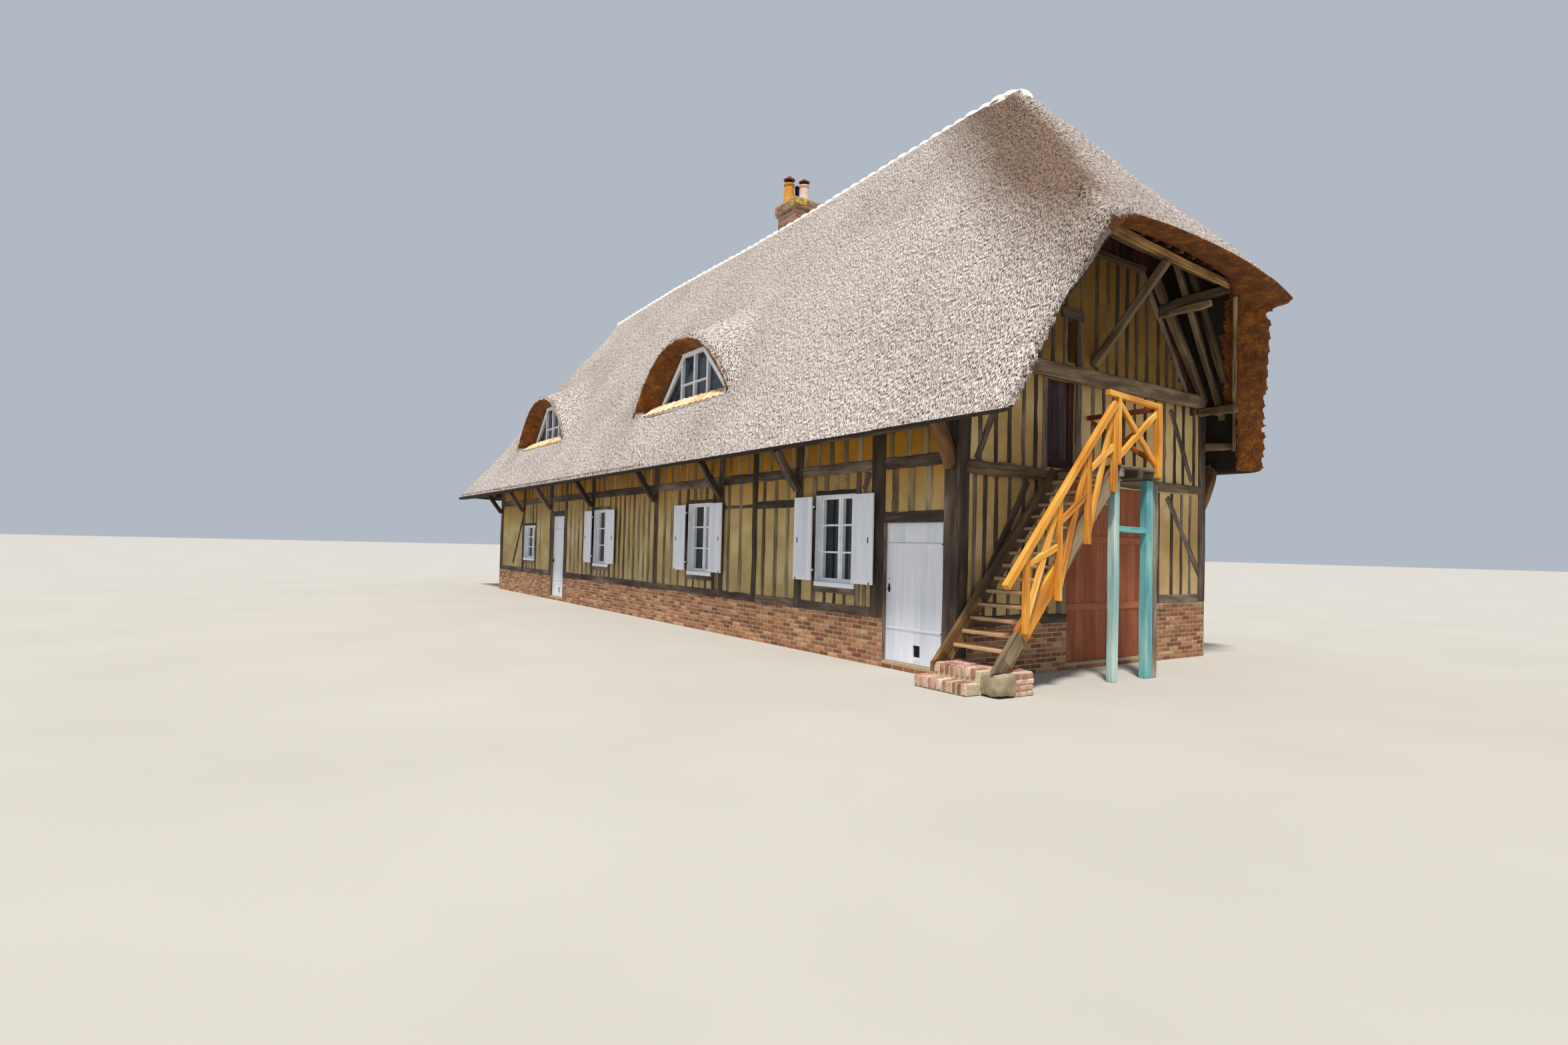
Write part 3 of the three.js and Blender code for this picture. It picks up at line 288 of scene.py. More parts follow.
dark_oak = wooden("dark hewn oak", ("#281d15", "#43352a", "#5f5043", "#867766"))
stud_oak = wooden("dry oak stud", ("#453726", "#6a5a42", "#887759", "#aa9b7c"))
brown_oak = wooden("weathered brown oak", ("#33271a", "#584732", "#77634a", "#9b876a"))
limed_oak = wooden("limewashed oak stud", ("#4f4028", "#766343", "#927d59", "#b09d76"))
grey_oak = wooden("silvered oak", ("#42372d", "#685b4e", "#877a6c", "#aea395"))
brace_oak = wooden("oiled oak brace", ("#2f1e11", "#5b3d22", "#8a6338"), at=(0.1, 0.45, 0.8), checks=0.4)
bare_oak = wooden("bare oak", ("#5c4022", "#93703f", "#b8935c", "#d6b98a"), checks=0.4)
smoked_oak = wooden("smoked oak", ("#1f170e", "#3b2e1d", "#54432b", "#75603f"))
orange_stain = wooden("orange stained pine", ("#a05a0e", "#cf861f", "#e6a53d", "#f2c677"), at=(0.1, 0.4, 0.7, 0.95),
    grain=0.014, checks=0.12, roughness=0.55)
red_stain = wooden("red stained pine", ("#5a2410", "#93461c", "#c06a30"), checks=0.2)
worn_tread = wooden("worn brown tread", ("#3a200d", "#633c1d", "#86582f", "#ad8254"), at=(0.1, 0.45, 0.75, 0.95),
    checks=0.3, trodden_and_lit="#c4a077")
plum_board = wooden("plum brown board", ("#241618", "#453236", "#6d5a5c"), checks=0.4)
rust_board = wooden("red brown painted board", ("#7a3c22", "#96512f", "#aa6843"), at=(0.0, 0.5, 1.0), checks=0.15)
gable_board = wooden("dark red gable board", ("#1d0d08", "#40190f", "#5f2a1a"), checks=0.4)
turquoise_paint = wooden("worn turquoise paint", ("#448d93", "#74b2b3", "#b4d3ca"), wear=("#a8a086", 0.97),
    checks=0.35, roughness=0.7)
pale_turquoise_paint = wooden("pale turquoise paint", ("#86b0ae", "#b7cfc7", "#e2e9df"), wear=("#b9b39f", 0.92),
    checks=0.35)
white_paint = wooden("white paint on softwood", ("#d8dce8", "#e6e9f3", "#f1f3fa"), at=(0.0, 0.5, 1.0), checks=0.08,
    roughness=0.5, height=0.0015)
print("wood finishes, from", dark_oak.name, "to", white_paint.name)

# %% [markdown]
# The floors show only through an open door. Boards and joints are one brick pattern, with streaks.

# %% Floorboards
floorboards, tree, shader = new_finish("floorboards", 0.8)
place = add(tree, "TexCoord").outputs["Object"]
rows = add(tree, "TexBrick", {"Vector": place, "Scale": 1.0, "Color1": "#80603f", "Color2": "#9a7a52",
    "Mortar": "#2c1f14", "Brick Width": 2.4, "Row Height": 0.18, "Mortar Size": 0.003}).outputs["Color"]
streaks = add(tree, "Mapping", {"Vector": place, "Scale": (1.6, 60, 60)})
streak = add(tree, "TexNoise", {"Vector": streaks, "Scale": 1.0, "Detail": 3.0})
darker = add(tree, "MapRange", {0: streak, 1: 0.3, 2: 0.7, 3: 0.6, 4: 1.0})
stained = add(tree, "VectorMath", {0: rows, 1: darker}, operation="MULTIPLY")
cover(tree, shader, stained, streak, 0.002, 0.5)
print(floorboards.name)

# %% [markdown]
# ### Daub
# The panels between the timbers are clay and lime, brushed with ochre limewash. The eye sees broad
# cloudy patches, coarse sand, drawn at 12 mm so that it shows, and splash dirt near the plinth. Under
# the eaves the wash is multiplied darker and warmer: painted shade.


# %% Daub finishes
def limewash(name, stops, dirt, eave_shade_tint, from_z, to_z):
    """Limewash that turns darker and warmer between two heights, a painted shade under the eaves, with splash dirt at
    its foot.
    """
    finish, tree, shader = new_finish(name, 0.95)
    place = add(tree, "TexCoord").outputs["Object"]
    clouds = add(tree, "TexNoise", {"Vector": place, "Scale": 1.3, "Detail": 5.0, "Roughness": 0.6})
    sand = add(tree, "TexNoise", {"Vector": place, "Scale": 1 / 0.012, "Detail": 2.0})
    both = add(tree, "Math", {0: sand, 1: 0.22, 2: clouds}, operation="MULTIPLY_ADD")
    wash = add(tree, "ValToRGB", {0: both}, stops=stops)
    height = add(tree, "SeparateXYZ", {0: place}).outputs["Z"]
    ragged = add(tree, "Math", {0: clouds, 1: 1.2, 2: height}, operation="MULTIPLY_ADD")
    splash = add(tree, "MapRange", {0: ragged, 1: 1.3, 2: 2.3, 3: 0.45, 4: 0.0})
    dirt_and_eave_shade = add(tree, "Mix", {0: splash, 6: wash, 7: dirt}, data_type="RGBA").outputs[2]
    # Painted shade: between from_z and to_z the wash is multiplied by the eave's shade tint
    painted_eave_shade = add(tree, "MapRange", {0: ragged, 1: from_z + 0.6, 2: to_z + 0.6})
    dirt_and_eave_shade = add(tree, "Mix", {0: painted_eave_shade, 6: dirt_and_eave_shade, 7: eave_shade_tint}, data_type="RGBA",
        blend_type="MULTIPLY").outputs[2]
    cover(tree, shader, dirt_and_eave_shade, both, 0.006, 0.5)
    return finish


ochre_daub = limewash("ochre limewashed daub", [(0.38, "#a68d55"), (0.58, "#bca266"), (0.72, "#cdb786")],
    dirt="#8a7a5a", eave_shade_tint="#dfb02c", from_z=2.1, to_z=3.1)
cream_daub = limewash("cream limewashed daub", [(0.38, "#b4935c"), (0.58, "#c8a566"), (0.72, "#d9be88")],
    dirt="#9b8660", eave_shade_tint="#9c8a52", from_z=3.8, to_z=4.6)
print(ochre_daub.name, "and", cream_daub.name)

# %% [markdown]
# ### Brick, mortar, clay, glass, iron and joinery
# Hand-moulded bricks differ in firing, so each takes its colour from its tone. Lime mortar is
# cream and sandy. Window glass is a smooth dielectric over a dark room, smith's iron is nearly
# black and half rough, and planed joinery is painted so thickly that no grain shows.


# %% Hard finishes
EVEN_STEPS = {2: (0.0, 1.0), 3: (0.0, 0.5, 1.0), 4: (0.0, 0.35, 0.7, 1.0)}


def mineral(name, colours, at=None, roughness=0.92, scale=12.0, spread=0.5, height=0.004, **fixed):
    """A mottled finish, shifted by the tone of each piece."""
    stops = list(zip(at or EVEN_STEPS[len(colours)], colours))
    finish, tree, shader = new_finish(name, roughness, **fixed)
    place = add(tree, "TexCoord").outputs["Object"]
    tone = add(tree, "Attribute", attribute_name="tone").outputs["Fac"]
    mottle = add(tree, "TexNoise", {"Vector": place, "Scale": scale, "Detail": 5.0, "Roughness": 0.65})
    value = add(tree, "Math", {0: tone, 1: spread, 2: mottle}, operation="MULTIPLY_ADD")
    even = add(tree, "MapRange", {0: value, 1: 0.35, 2: 0.65 + spread})
    colour = add(tree, "ValToRGB", {0: even}, stops=stops)
    cover(tree, shader, colour, mottle, height, 0.8)
    return finish


wall_brick = mineral("hand moulded red brick", ("#5f3825", "#8a5439", "#a97350", "#c9a582"), spread=0.9)
stack_brick = mineral("sooty chimney brick", ("#55332a", "#8b5a4a", "#b08472"), at=(0.0, 0.45, 1.0), spread=0.7)
lime_mortar = mineral("lime mortar", ("#9a8b70", "#c2b391", "#dbcfb2"), scale=30.0)
step_brick = mineral("worn step brick", ("#6f4c40", "#9c6c5c", "#c49e8a", "#e6d4c0"), spread=0.75)
pale_clay = mineral("pale clay tile", ("#e9d7b8", "#f7eee0", "#fffdf8"), at=(0.0, 0.35, 1.0))
orange_clay = mineral("orange clay tile", ("#d2915a", "#eabb88", "#f7dab6"), spread=0.6)
lichen = mineral("yellow lichen", ("#6d5c1e", "#b39c2e", "#dccb62"))
yellow_clay = mineral("yellow pot clay", ("#b5751f", "#e3a33f", "#f0c070"))
pink_clay = mineral("pink white pot clay", ("#c9a898", "#efd9cc", "#fbeee4"))
red_clay = mineral("red clay cap", ("#6a3020", "#9c5640", "#c48e70"))
field_stone = mineral("field stone", ("#8a7a62", "#b9a88c", "#dccdb2"), scale=6.0, height=0.02)
iron = mineral("blackened iron", ("#0c0c0c", "#2a2725"), roughness=0.5, Metallic=0.7)
window_glass = mineral("window glass over a dark room", ("#10181a", "#1d292c", "#33444a"), roughness=0.05,
    scale=1.2, height=0.0, IOR=1.5)
curtained_glass = mineral("window glass over net curtain", ("#1d2833", "#40546a", "#93a9c0"), roughness=0.08,
    scale=7.0, height=0.0, IOR=1.5)
white_joinery = mineral("white painted joinery", ("#e4e8f0", "#f2f4f9", "#ffffff"), roughness=0.45, scale=9.0,
    spread=0.2, height=0.001)
print(len(bpy.data.materials), "finishes")

# %% [markdown]
# ## Working by hand
# A few habits repeat in every piece: nothing is selected before an operator runs, faces are then
# picked in code by their place, and a modifier is applied as soon as it has done its work.


# %% Bench helpers
def deselect():
    if bpy.context.object and bpy.context.object.mode != "OBJECT":
        bpy.ops.object.mode_set(mode="OBJECT")
    bpy.ops.object.select_all(action="DESELECT")


def pick(piece):
    deselect()
    piece.select_set(True)
    bpy.context.view_layer.objects.active = piece


def edit(piece, mode="FACE"):
    pick(piece)
    bpy.ops.object.mode_set(mode="EDIT")
    bpy.ops.mesh.select_mode(type=mode)


def edit_all(piece, mode="FACE"):
    edit(piece, mode)
    bpy.ops.mesh.select_all(action="SELECT")


def done():
    bpy.ops.object.mode_set(mode="OBJECT")


def face_outward(piece):
    """Turns the faces of a closed piece to look outwards."""
    edit_all(piece)
    bpy.ops.mesh.normals_make_consistent(inside=False)
    done()


def finish_with(piece, kind, **settings):
    """Adds a modifier, sets it and applies it."""
    pick(piece)
    modifier = piece.modifiers.new(kind.title(), kind)
    for name, value in settings.items():
        setattr(modifier, name, value)
    bpy.ops.object.modifier_apply(modifier=modifier.name)


def read(rows, field):
    """Three numbers of each point or face of a mesh, as one array."""
    flat = np.empty(len(rows) * 3)
    rows.foreach_get(field, flat)
    return flat.reshape(-1, 3)


def corners(piece):
    return read(piece.data.vertices, "co")


def outward(piece):
    return read(piece.data.vertices, "normal")


def set_corners(piece, places):
    piece.data.vertices.foreach_set("co", np.asarray(places, float).ravel())
    piece.data.update()


def put_finish(piece, finish):
    piece.data.materials.clear()
    piece.data.materials.append(finish)


def smooth(piece, degrees=40):
    pick(piece)
    bpy.ops.object.shade_smooth_by_angle(angle=math.radians(degrees))


def belongs(piece, name, body="house", stands_for=()):
    """Names a finished piece, and says what it rides on and the solids it stands for."""
    piece.name = piece.data.name = name
    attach(piece, body)
    if stands_for:
        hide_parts(*stands_for)
    return piece


def join(*pieces):
    deselect()
    for piece in pieces:
        piece.select_set(True)
    bpy.context.view_layer.objects.active = pieces[0]
    bpy.ops.object.join()
    return pieces[0]


def new_piece(mesh):
    piece = bpy.data.objects.new("piece", mesh)
    bpy.context.collection.objects.link(piece)
    return piece


def drawn(points, lines=(), faces=()):
    """A new piece from points in the part's frame."""
    mesh = bpy.data.meshes.new("piece")
    mesh.from_pydata(np.asarray(points).tolist(), lines, faces)
    return new_piece(mesh)


def shape_of(piece):
    """The points and faces of a piece, to be copied many times. The piece itself goes."""
    shape = corners(piece), [tuple(face.vertices) for face in piece.data.polygons]
    bpy.data.objects.remove(piece)
    return shape


def copy_of(*names):
    """One new mesh from copies of the named solids, with their loose triangles merged."""
    deselect()
    for name in names:
        twin = new_piece(solids[name].data.copy())
        twin.select_set(True)
        bpy.context.view_layer.objects.active = twin
    if len(names) > 1:
        bpy.ops.object.join()
    twin = bpy.context.view_layer.objects.active
    edit_all(twin, "VERT")
    bpy.ops.mesh.remove_doubles(threshold=0.0001)
    done()
    return twin


print("bench ready")

# %% [markdown]
# ## Thatch
# A thatched roof is one soft coat: hips are rounded by hand and the dormer hoods flow into the
# slope. The solids have the planes, so the way here is to melt their copies into one skin with a
# voxel remesh, smooth it where the reed turns, and hold it still at the eaves, verges, dormer
# arches and ridge, which are cut and stay crisp. Small wedges first fill what the planes leave
# open: the far corners, the point and the notch at the half-hip's feet, and both ends of the ridge.

# %% One skin from the four slopes
VOXEL = 0.06
EAVE_OUT = -0.97
DORMERS = (-17.17, -7.95)


def wedge(points):
    """A closed solid stretched over some points."""
    solid = drawn(in_part(points))
    edit_all(solid, "VERT")
    bpy.ops.mesh.convex_hull()
    done()
    return solid


far_corner = [(-23.65, EAVE_OUT, EAVE_Z), (-22.656, -0.19, 4.3), (-22.3, EAVE_OUT, EAVE_Z), (-23.65, 0.4, EAVE_Z),
    (-22.4, -0.3, EAVE_Z), (-22.9, 0.5, EAVE_Z), (-22.6, 0.2, 3.7)]
back_corner = [(x, DEPTH - y, z) for x, y, z in far_corner]
beak = [(1.65, 5.4375, 5.5), (0.45, 4.55, 6.8), (1.65, 4.2, 5.5), (1.31, 5.48, 5.43), (1.25, 4.2, 5.5),
    (0.95, 5.1, 5.5)]
under_beak = [(1.31, 5.48, 5.43), (1.17, 5.74, 5.0), (0.94, 6.12, 4.3), (0.76, 5.73, 4.45), (0.97, 5.3, 5.2),
    (1.02, 5.05, 5.55), (0.45, 5.66, 5.0)]
notch = [(1.77, 0.51, 5.41), (1.75, 0.27, 5.03), (1.66, -0.05, 4.52), (0.943, 1.0625, 6.3), (1.62, 1.2, 5.53),
    (1.3, 1.2, 5.55), (1.45, 0.6, 5.1), (1.4, 0.3, 4.6)]
apex = [(-2.8, 3, 9.4), (-1.78, 3, 9.33), (-0.35, 2.0, 7.5), (-0.35, 4.0, 7.5), (-2.8, 2.44, 8.5), (-2.8, 3.56, 8.5)]
far_apex = [(-17.6, 3, 9.4), (-18.6, 3, 9.4), (-20.0, 2.0, 7.45), (-20.0, 4.0, 7.45), (-17.6, 2.44, 8.5),
    (-17.6, 3.56, 8.5)]
fillers = [wedge(points) for points in (far_corner, back_corner, beak, under_beak, notch, apex, far_apex)]
skin = join(copy_of("thatch_front", "thatch_back", "thatch_left_hip", "thatch_half_hip"), *fillers)
finish_with(skin, "REMESH", mode="VOXEL", voxel_size=VOXEL, adaptivity=0)
print("skin:", len(skin.data.vertices), "points at", VOXEL * 1000, "mm")

# %% [markdown]
# Which points may move? Those that face up are the outer coat. Walking a few rings in from its rim
# gives a share from 0 at the rim to 1 inside, and the ridge is held as well.


# %% Where the coat may soften
def rings_inward(piece, inside, rings, blur):
    """Share of each point: 0 within some rings of the rim, then rising to 1."""
    ends = np.empty(len(piece.data.edges) * 2, int)
    piece.data.edges.foreach_get("vertices", ends)
    one, two = ends.reshape(-1, 2).T
    share = inside.astype(float)
    for _ in range(rings):
        lowest = share.copy()
        np.minimum.at(lowest, one, share[two])
        np.minimum.at(lowest, two, share[one])
        share = lowest
    count = np.bincount(one, minlength=len(share)) + np.bincount(two, minlength=len(share))
    for _ in range(blur):
        total = np.bincount(one, share[two], len(share)) + np.bincount(two, share[one], len(share))
        share = np.where(inside, (share + total / count) / 2, 0)
    return share


def weigh(piece, name, share):
    group = piece.vertex_groups.new(name=name)
    for step in range(1, 11):
        chosen = np.nonzero(np.round(share * 10) == step)[0]
        group.add(chosen.tolist(), step / 10, "REPLACE")


BACK_TIP, FRONT_TIP, FAR_TIP = (1.62, 5.43, 5.52), (1.77, 0.51, 5.41), (-23.92, EAVE_OUT, 2.97)
PULLED = (BACK_TIP, FRONT_TIP, FAR_TIP, (FAR_TIP[0], DEPTH - EAVE_OUT, FAR_TIP[2]))
TIPS = PULLED + ((0.5, EAVE_OUT, EAVE_Z), (0.5, DEPTH - EAVE_OUT, EAVE_Z), (HALF_HIP_APEX, RIDGE_Y, RIDGE_Z),
    (LEFT_HIP_APEX, RIDGE_Y, RIDGE_Z))
place_of, facing_of = corners(skin) - OFFSET, outward(skin)
x, y, z = place_of.T
coat = facing_of[:, 2] > 0.22
over_ridge = (x > LEFT_HIP_APEX - 0.3) & (x < HALF_HIP_APEX + 0.3)
held = np.where(over_ridge, np.clip((abs(y - RIDGE_Y) - 0.3) / 0.5, 0, 1), 1)
for tip in TIPS:
    held = np.minimum(held, np.clip((np.linalg.norm(place_of - tip, axis=1) - 0.25) / 0.8, 0, 1))
may_move = rings_inward(skin, coat, 2, 5) * held
weigh(skin, "soft", may_move)
from_dormer = np.min([abs(x - middle) for middle in DORMERS], axis=0)
seen = (x > -0.7) | ((from_dormer < 2.5) & (z > 4.2) & (y < 1.2))
below = rings_inward(skin, (facing_of[:, 2] < -0.2) & ~seen, 3, 0)
weigh(skin, "under", below)
print("outer coat:", int(coat.sum()), "points, of which free:", int((may_move > 0.5).sum()))

# %% [markdown]
# The smoothing runs many small steps, which rounds a hip over about a third of a metre. Two
# displacements then give the hand of the thatcher: broad swells and a fine unevenness. The
# underside is flat and out of sight, so its points are thinned.

# %% Soften, swell, thin the underside
STEPS, THINNED = (110), 0.93
finish_with(skin, "SMOOTH", factor=0.5, iterations=STEPS, vertex_group="soft")
for name, size, depth_of in (("broad swells", 1.6, 0.07), ("combed unevenness", 0.22, 0.022)):
    clouds = bpy.data.textures.new(name, "CLOUDS")
    clouds.noise_scale, clouds.noise_depth = size, 2
    finish_with(skin, "DISPLACE", texture=clouds, strength=depth_of, mid_level=0.5, vertex_group="soft")
under_share = float((below > 0.5).mean())
finish_with(skin, "DECIMATE", ratio=1 - under_share * THINNED, vertex_group="under", vertex_group_factor=50.0)
skin.vertex_groups.clear()
print("thinned to", len(skin.data.polygons), "faces")

# %% [markdown]
# The half-hip is fuller than a plane. Its reed swells outward by a quarter of a metre and its lower
# edge rises in a shallow arch, like a brow, with the cut side tilted outwards. The points of the
# skin are moved: how far down and how far across the slope each lies gives its share.

# %% The brow of the half-hip
SWELL, ARCH = 0.26, 0.36
x, y, z = (corners(skin) - OFFSET).T
down = np.clip((RIDGE_Z - z) / (RIDGE_Z - HALF_HIP_EAVE_Z), 0, 1)
inside = (RIDGE_Z - HALF_HIP_PITCH * (x - HALF_HIP_APEX) - z) / math.hypot(1, HALF_HIP_PITCH)
outer = np.clip(1 - inside / THATCH, 0, 1) * (x > HALF_HIP_APEX)
near = np.clip(2 - inside / THATCH, 0, 1) * (x > HALF_HIP_APEX)
brow = np.clip(1 - (abs(y - 2.9) / (0.6 + 2.6 * down)) ** 2.4, 0, 1)
arch = np.clip(1 - (abs(y - 2.7) / (0.1 + 2.65 * down)) ** 2.4, 0, 1)
swell = SWELL * brow * outer * np.sin(math.pi * 0.93 * down**0.7)
lift = arch * near * np.clip((down - 0.55) / 0.45, 0, 1) ** 1.7 * (ARCH - 0.13 * outer)
moved = np.stack((x + swell * 0.75, y, z + swell * 0.66 + lift), axis=1)
print("swell up to", round(float(swell.max()), 2), "m, arch up to", round(float(lift.max()), 2), "m")

# %% [markdown]
# An old ridge is rolled round and sags towards its far end, and over the half-hip it leans back.
# Each point reads its own share between the knots of three curves: the sag along the house, the
# lean over the height, and the roll over the distance from the ridge line.

# %% The old ridge
SAG = ((LEFT_HIP_APEX, -14.3, -10, -7, -5, -3, HALF_HIP_APEX), (0.28, 0.15, 0.15, 0.09, 0.01, -0.06, -0.08))
LEAN = ((6.0, 7.2, 7.9, 8.3, 8.6, 8.95, 9.2, 9.4), (0, 0.06, 0.06, 0.0, -0.08, -0.11, 0, 0.02))
ROLL = ((0, 0.05, 0.12, 0.2, 0.35, 0.6, 0.9), (-0.07, 0.01, 0.09, 0.11, 0.07, 0.02, 0))


def ridge_sag(x):
    return np.interp(x, *SAG)


moved[:, 0] -= np.interp(z, *LEAN) * np.clip((x + 3.2) / 1.2, 0, 1)
from_ridge = abs(y - RIDGE_Y)
on_ridge = np.clip((x - LEFT_HIP_APEX) / 0.3 + 1, 0, 1) * (x < HALF_HIP_APEX + 0.2)
over_crest = (z > RIDGE_Z - FRONT_PITCH * from_ridge - 0.2) * on_ridge
moved[:, 2] += over_crest * np.interp(from_ridge, *ROLL)
moved[:, 2] -= ridge_sag(x) * np.clip((z - 7.6) / 1.6, 0, 1)
print("the far end sags by", ridge_sag(LEFT_HIP_APEX), "m")

# %% [markdown]
# The edges are cut along given lines. The inner edge of the back verge stands a little further out. The front
# eave is level and rises slightly to the right, so its underside stays out of sight. The outer
# corners are drawn out to points, and the knife's marks at the gable are rubbed smooth.

# %% Verge, eave and corners
VERGE_X, VERGE_SLOPE, VERGE_INTO = -0.421, 0.317, 0.454
LEVEL_Z, LEVEL_RISE = 3.02, 0.09
x, y, z = moved.T
into = np.clip((RIDGE_Z - FRONT_PITCH * (y - RIDGE_Y) - z) / math.hypot(1, FRONT_PITCH) / THATCH, 0, 1)
cut_x = VERGE_X + VERGE_SLOPE * z - VERGE_INTO * into
at_verge = (x < cut_x + 0.1) * (y > 3.9) * (z < 5.45) * (x > -0.9)
x += 0.14 * into * np.clip(1 - (cut_x - x) / 0.5, 0, 1) * at_verge
lowest = LEVEL_Z + LEVEL_RISE * (x + 22.4) / 21.9 + 0.12 * (y - EAVE_OUT)
moved[:, 2] = np.where((y < 0.3) & (z < 3.6), np.maximum(z, lowest), z)
far_off = np.full(len(moved), 9.0)
for tip in PULLED:
    gap = np.linalg.norm(moved - tip, axis=1)
    moved += (tip - moved[gap.argmin()]) * (np.clip(1 - gap / 0.6, 0, 1) ** 1.3)[:, None]
    far_off = np.minimum(far_off, gap)
set_corners(skin, in_part(moved))
trimmed = (x > -0.7) & (outward(skin)[:, 2] < 0.3)
weigh(skin, "trimmed", rings_inward(skin, trimmed, 0, 2) * np.clip(far_off / 0.3 - 0.5, 0, 1))
finish_with(skin, "SMOOTH", factor=0.5, iterations=6, vertex_group="trimmed")
skin.vertex_groups.clear()
print("corners drawn out:", len(PULLED))

# %% [markdown]
# Three finishes share the skin. Faces that look up are weathered. Faces cut by the knife, in the
# dormer reveals, under the half-hip and down the back verge, are russet. The rest is underside,
# coloured near black as dark old reed in painted shade.

# %% Finish of each face
finish_with(skin, "TRIANGULATE")
skin.data.materials.clear()
for finish in (weathered_reed, cut_reed, underside_and_shade):
    skin.data.materials.append(finish)
x, y, z = (read(skin.data.polygons, "center") - OFFSET).T
nx, _, nz = read(skin.data.polygons, "normal").T
from_dormer = np.min([abs(x - middle) for middle in DORMERS], axis=0)
reveal = (from_dormer < 2.35) & (z > 4.57) & (z < 6.1) & (y > -0.45) & (y < 0.75) & (nz < 0.22)
half_hip_cut = (x > 0.9) & (z > 5.2) & (nz < -0.15) & ((y > 0.9) | (y > 0.5) & (z > 5.38))
back_verge = (y > 3.8) & (nz < 0.4) & (x > -0.95 + VERGE_SLOPE * z) & (z < 5.6) & ((nx > 0.35) | (z > 4.0))
back_verge |= (x > 0.6) & (y > 5.25) & (z > 4.0) & (z < 5.35)
# Faces that look down take the near-black underside, which is painted shade
finish_of = np.where(nz > 0.05, 0, 2)
finish_of[(nx > 0.3) & (y < 3.0) & (nz > -0.45)] = 0
finish_of[reveal | half_hip_cut | back_verge] = 1
skin.data.polygons.foreach_set("material_index", finish_of.astype(np.int32))
print("weathered, cut, under:", [int((finish_of == i).sum()) for i in range(3)])

# %% [markdown]
# Damp gathers on the front of the half-hip's turn. The hollows to the left of each dormer are
# browned too, as painted shade. Each point keeps its share of both as an attribute, which the
# weathered finish reads.

# %% Damp, and painted shade in the hollows
x, y, z = (corners(skin) - OFFSET).T
hip_x = HALF_HIP_APEX + (RIDGE_Z - z) / HALF_HIP_PITCH
short_of_hip = hip_x - x
beside_hip = np.clip(1.28 - short_of_hip / 1.5, 0, 1) * np.clip(1 + short_of_hip / 0.3, 0, 1)
beside_hip *= np.clip((y + 0.4) / 1.9, 0, 1) * (y < RIDGE_Y)
# Painted shade: the hollows to the left of each dormer are darkened
shade_beside_dormers = sum(np.exp(-(((x - a) / 0.75) ** 2) - ((z - 5.7) / 1.1) ** 2) for a in (-19.6, -10.4))
damp_and_shade_share = np.clip(1.15 * beside_hip + 0.7 * shade_beside_dormers * (y < RIDGE_Y), 0, 1)
skin.data.attributes.new("damp_and_shade", "FLOAT", "POINT").data.foreach_set("value", damp_and_shade_share)
print("damp points:", int((damp_and_shade_share > 0.3).sum()))

# %% [markdown]
# The coat is too fine for one piece, so it is bisected under the ridge tiles and each half is
# closed with a fill. No seam shows, because the halves keep the same slope on both sides.

# %% Front and back halves
smooth(skin, 50)
for side, name, stands_for in ((1, "thatch_coat_front", ("thatch_front", "thatch_left_hip")),
                               (-1, "thatch_coat_back", ("thatch_back", "thatch_half_hip"))):
    half = new_piece(skin.data.copy())
    edit_all(half)
    bpy.ops.mesh.bisect(plane_co=in_part((0, RIDGE_Y, 0)), plane_no=(0, side, 0), use_fill=True, clear_outer=True)
    bpy.ops.mesh.select_all(action="SELECT")
    bpy.ops.mesh.quads_convert_to_tris()
    done()
    belongs(half, name, stands_for=stands_for)
    print(name, len(half.data.polygons), "triangles")

# %% [markdown]
# ### Ragged edges
# At every trimmed edge some stalks stand out. Each is a thin closed spike that lies down the slope
# and passes the rim by a few centimetres, seeded so that each run is the same.

# %% Loose reeds along the rims
PER_POINT, SPIKE = (6), 0.006
place_of, facing_of = corners(skin), outward(skin)
x, y, z = (place_of - OFFSET).T
coat = facing_of[:, 2] > 0.15
rim = coat & (rings_inward(skin, coat, 1, 0) < 0.5)
rim &= ((x < 0.2) | (z < 5.75) & (y < 4.4)) & (abs(y - RIDGE_Y) > 0.4)
rng = np.random.default_rng(7)
start = np.repeat(place_of[rim], PER_POINT, axis=0)
normal = np.repeat(facing_of[rim], PER_POINT, axis=0)
each = (len(start), 1)
fall = normal * normal[:, 2:] - np.array((0, 0, 1.0))
fall /= np.linalg.norm(fall, axis=1)[:, None] + 1e-9
across = np.cross(normal, fall)
start = start + across * rng.uniform(-0.035, 0.035, each) + normal * rng.uniform(-0.03, 0.004, each)
lean = fall + across * rng.normal(0, 0.16, each) + normal * rng.normal(0.0, 0.10, each)
root, tip = start - lean * 0.09, start + lean * rng.uniform(0.0, 0.035, each)
points = np.stack([root + across * SPIKE, root - across * SPIKE, root + normal * SPIKE * 1.4, tip], axis=1)
sides = np.array(((0, 3, 2), (1, 2, 3), (0, 1, 3), (0, 2, 1)))
triangles = (np.arange(len(start))[:, None, None] * 4 + sides[None]).reshape(-1, 3)
loose = drawn(points.reshape(-1, 3), faces=triangles.tolist())
face_outward(loose)
put_finish(loose, weathered_reed)
belongs(loose, "loose_reeds")
bpy.data.objects.remove(skin)
print("loose reeds:", len(start), "from", int(rim.sum()), "rim points")

# %% [markdown]
# ## One block, many timbers
# Posts, studs, boards and bricks are all squared blocks with worn edges. One block is modelled: a
# cube with its long edges subdivided and every edge bevelled. Each copy is stretched so that its
# bevel keeps its real width, and its faces waver a little as an axe leaves them.


